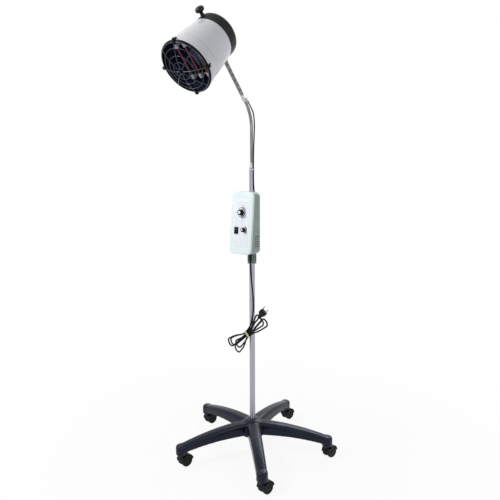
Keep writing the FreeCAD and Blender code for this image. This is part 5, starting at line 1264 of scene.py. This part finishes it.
def make_guard():
    dome = (GUARD_RADIUS ** 2 + GUARD_BULGE ** 2) / (2 * GUARD_BULGE)
    wires = run_tree(
        guard_tree(), ([], []), "wire",
        Ring_Radius=GUARD_RADIUS * MM, Dome_Radius=dome * MM,
        Dome_Centre=(dome - GUARD_BULGE - GUARD_LEAD) * MM,
        Wire=0.00095, Outer_Wire=0.0014, Hub=0.009, Spokes=8,
        Lead=GUARD_LEAD * MM, Start=math.radians(GUARD_TURN),
    )
    piece("guard_wires", "head", "guard_wire", [(placed(HEAD, wires), "wire")], "wire_guard")
    screw = placed(turn("Y", 90), lathe(UPRIGHT, [(0, 0), (2.3, 0, 0.3), (1.9, 1.3, 0.6), (0, 1.7)], 24))
    screw = [point + spot(97.2, 0, 5) for point in screw[0]], screw[1]
    screws = repeated("zinc", HEAD @ turn("Z", GUARD_TURN), screw, 4, turns=(0, 0, 90))
    parts = [(from_cad("guard_clips", 0.6, 3), "rim"), screws]
    piece("guard_clip_set", "head", "rim_black", parts, "guard_clips")


def make_reflector():
    """The bowl, ridged in fine steps, with holes for the posts of the tube holders."""
    shares = [
        (1, 0.02), (0.955, 0.2), (0.9, 0.36), (0.8, 0.55), (0.66, 0.73), (0.48, 0.88), (0.26, 0.97),
        (0, 1),
    ]
    rows = [(86 * radius, 118 * back) for radius, back in shares]
    fine = []
    for start, end in zip(rows, rows[1:]):
        for share in [step / 5 for step in range(5)]:
            fine.append((start[0] + (end[0] - start[0]) * share, start[1] + (end[1] - start[1]) * share))
    fine = smoothed(fine + [rows[-1]])
    inside = [(radius - (0.25 if index % 2 else 0), back) for index, (radius, back) in enumerate(fine)]
    inside[-1] = (0, inside[-1][1])
    outside = [(radius + 0.7, back + 1.2) for radius, back in reversed(fine[:-1])]
    bowl = lathe(HEAD, [(85.4, 2.2)] + inside[1:] + [(0, 119.2)] + outside, 160)
    posts = [rod(HEAD @ shift(x, y), 3.1, 40, 140) for x in (-18, 18) for y in (-57, 57)]
    form = carved(bowl, posts)
    piece("reflector_bowl", "head", "reflector_blue", [(form, "reflector")], "reflector", smooth=50)


def make_tubes():
    """Three quartz tubes with a coil in each, and the ceramic holders of their ends."""
    steps = 12
    tubes, coils, ends = [], [], []
    for x in (-36, 0, 36):
        axis = HEAD @ shift(x, 0, TUBE_DEPTH) @ turn("X", -90)
        tubes.append((lathe(axis, [(4.1, -52), (5, -52, 0.5), (5, 52, 0.5), (4.1, 52)], 40), "ruby"))
        path = []
        for step in range(steps * COIL_TURNS + 1):
            angle = math.tau * step / steps
            along = -46 + 92 * step / (steps * COIL_TURNS)
            path.append(axis @ spot(1.9 * math.cos(angle), 1.9 * math.sin(angle), along))
        coils.append((sweep(path, 0.35, 6), "zinc"))
        for side in (-1, 1):
            end = HEAD @ shift(x, side * 48, TUBE_DEPTH) @ turn("X", -90 * side)
            sleeve = lathe(end, [(5, 0), (7, 0, 0.8), (7, 15, 1.2), (0, 15), (0, 4), (5, 4)], 40)
            ends.append((sleeve, "ceramic"))
            ends.append((lathe(end, [(6.8, 4), (7.35, 4, 0.2), (7.35, 5.4, 0.2), (6.8, 5.4)], 40), "zinc"))
            y = side * 57
            ends.append((block(HEAD, (x - 4, x + 4), (y - 4, y + 4), (TUBE_DEPTH, 47)), "ceramic"))
    piece("quartz_tubes", "head", "ruby_quartz", tubes + coils, "lamp_tubes")
    piece("tube_end_holders", "head", "ceramic_white", ends, "tube_holders")


make_cords()
make_base()
make_casters()
make_post()
make_neck_tube()
make_links()
make_box()
make_shell()
make_cap_and_grip()
make_guard()
make_reflector()
make_tubes()
piece("deck_and_rails", "head", "zinc_steel", [(from_cad("deck_plate", 0.4), "zinc")], "deck_plate")
carried("board", "control_board")
carried("nylon", "timer_unit", "pole_foot")
carried("zinc", "power_control", "caster_stems", "hub_screw")
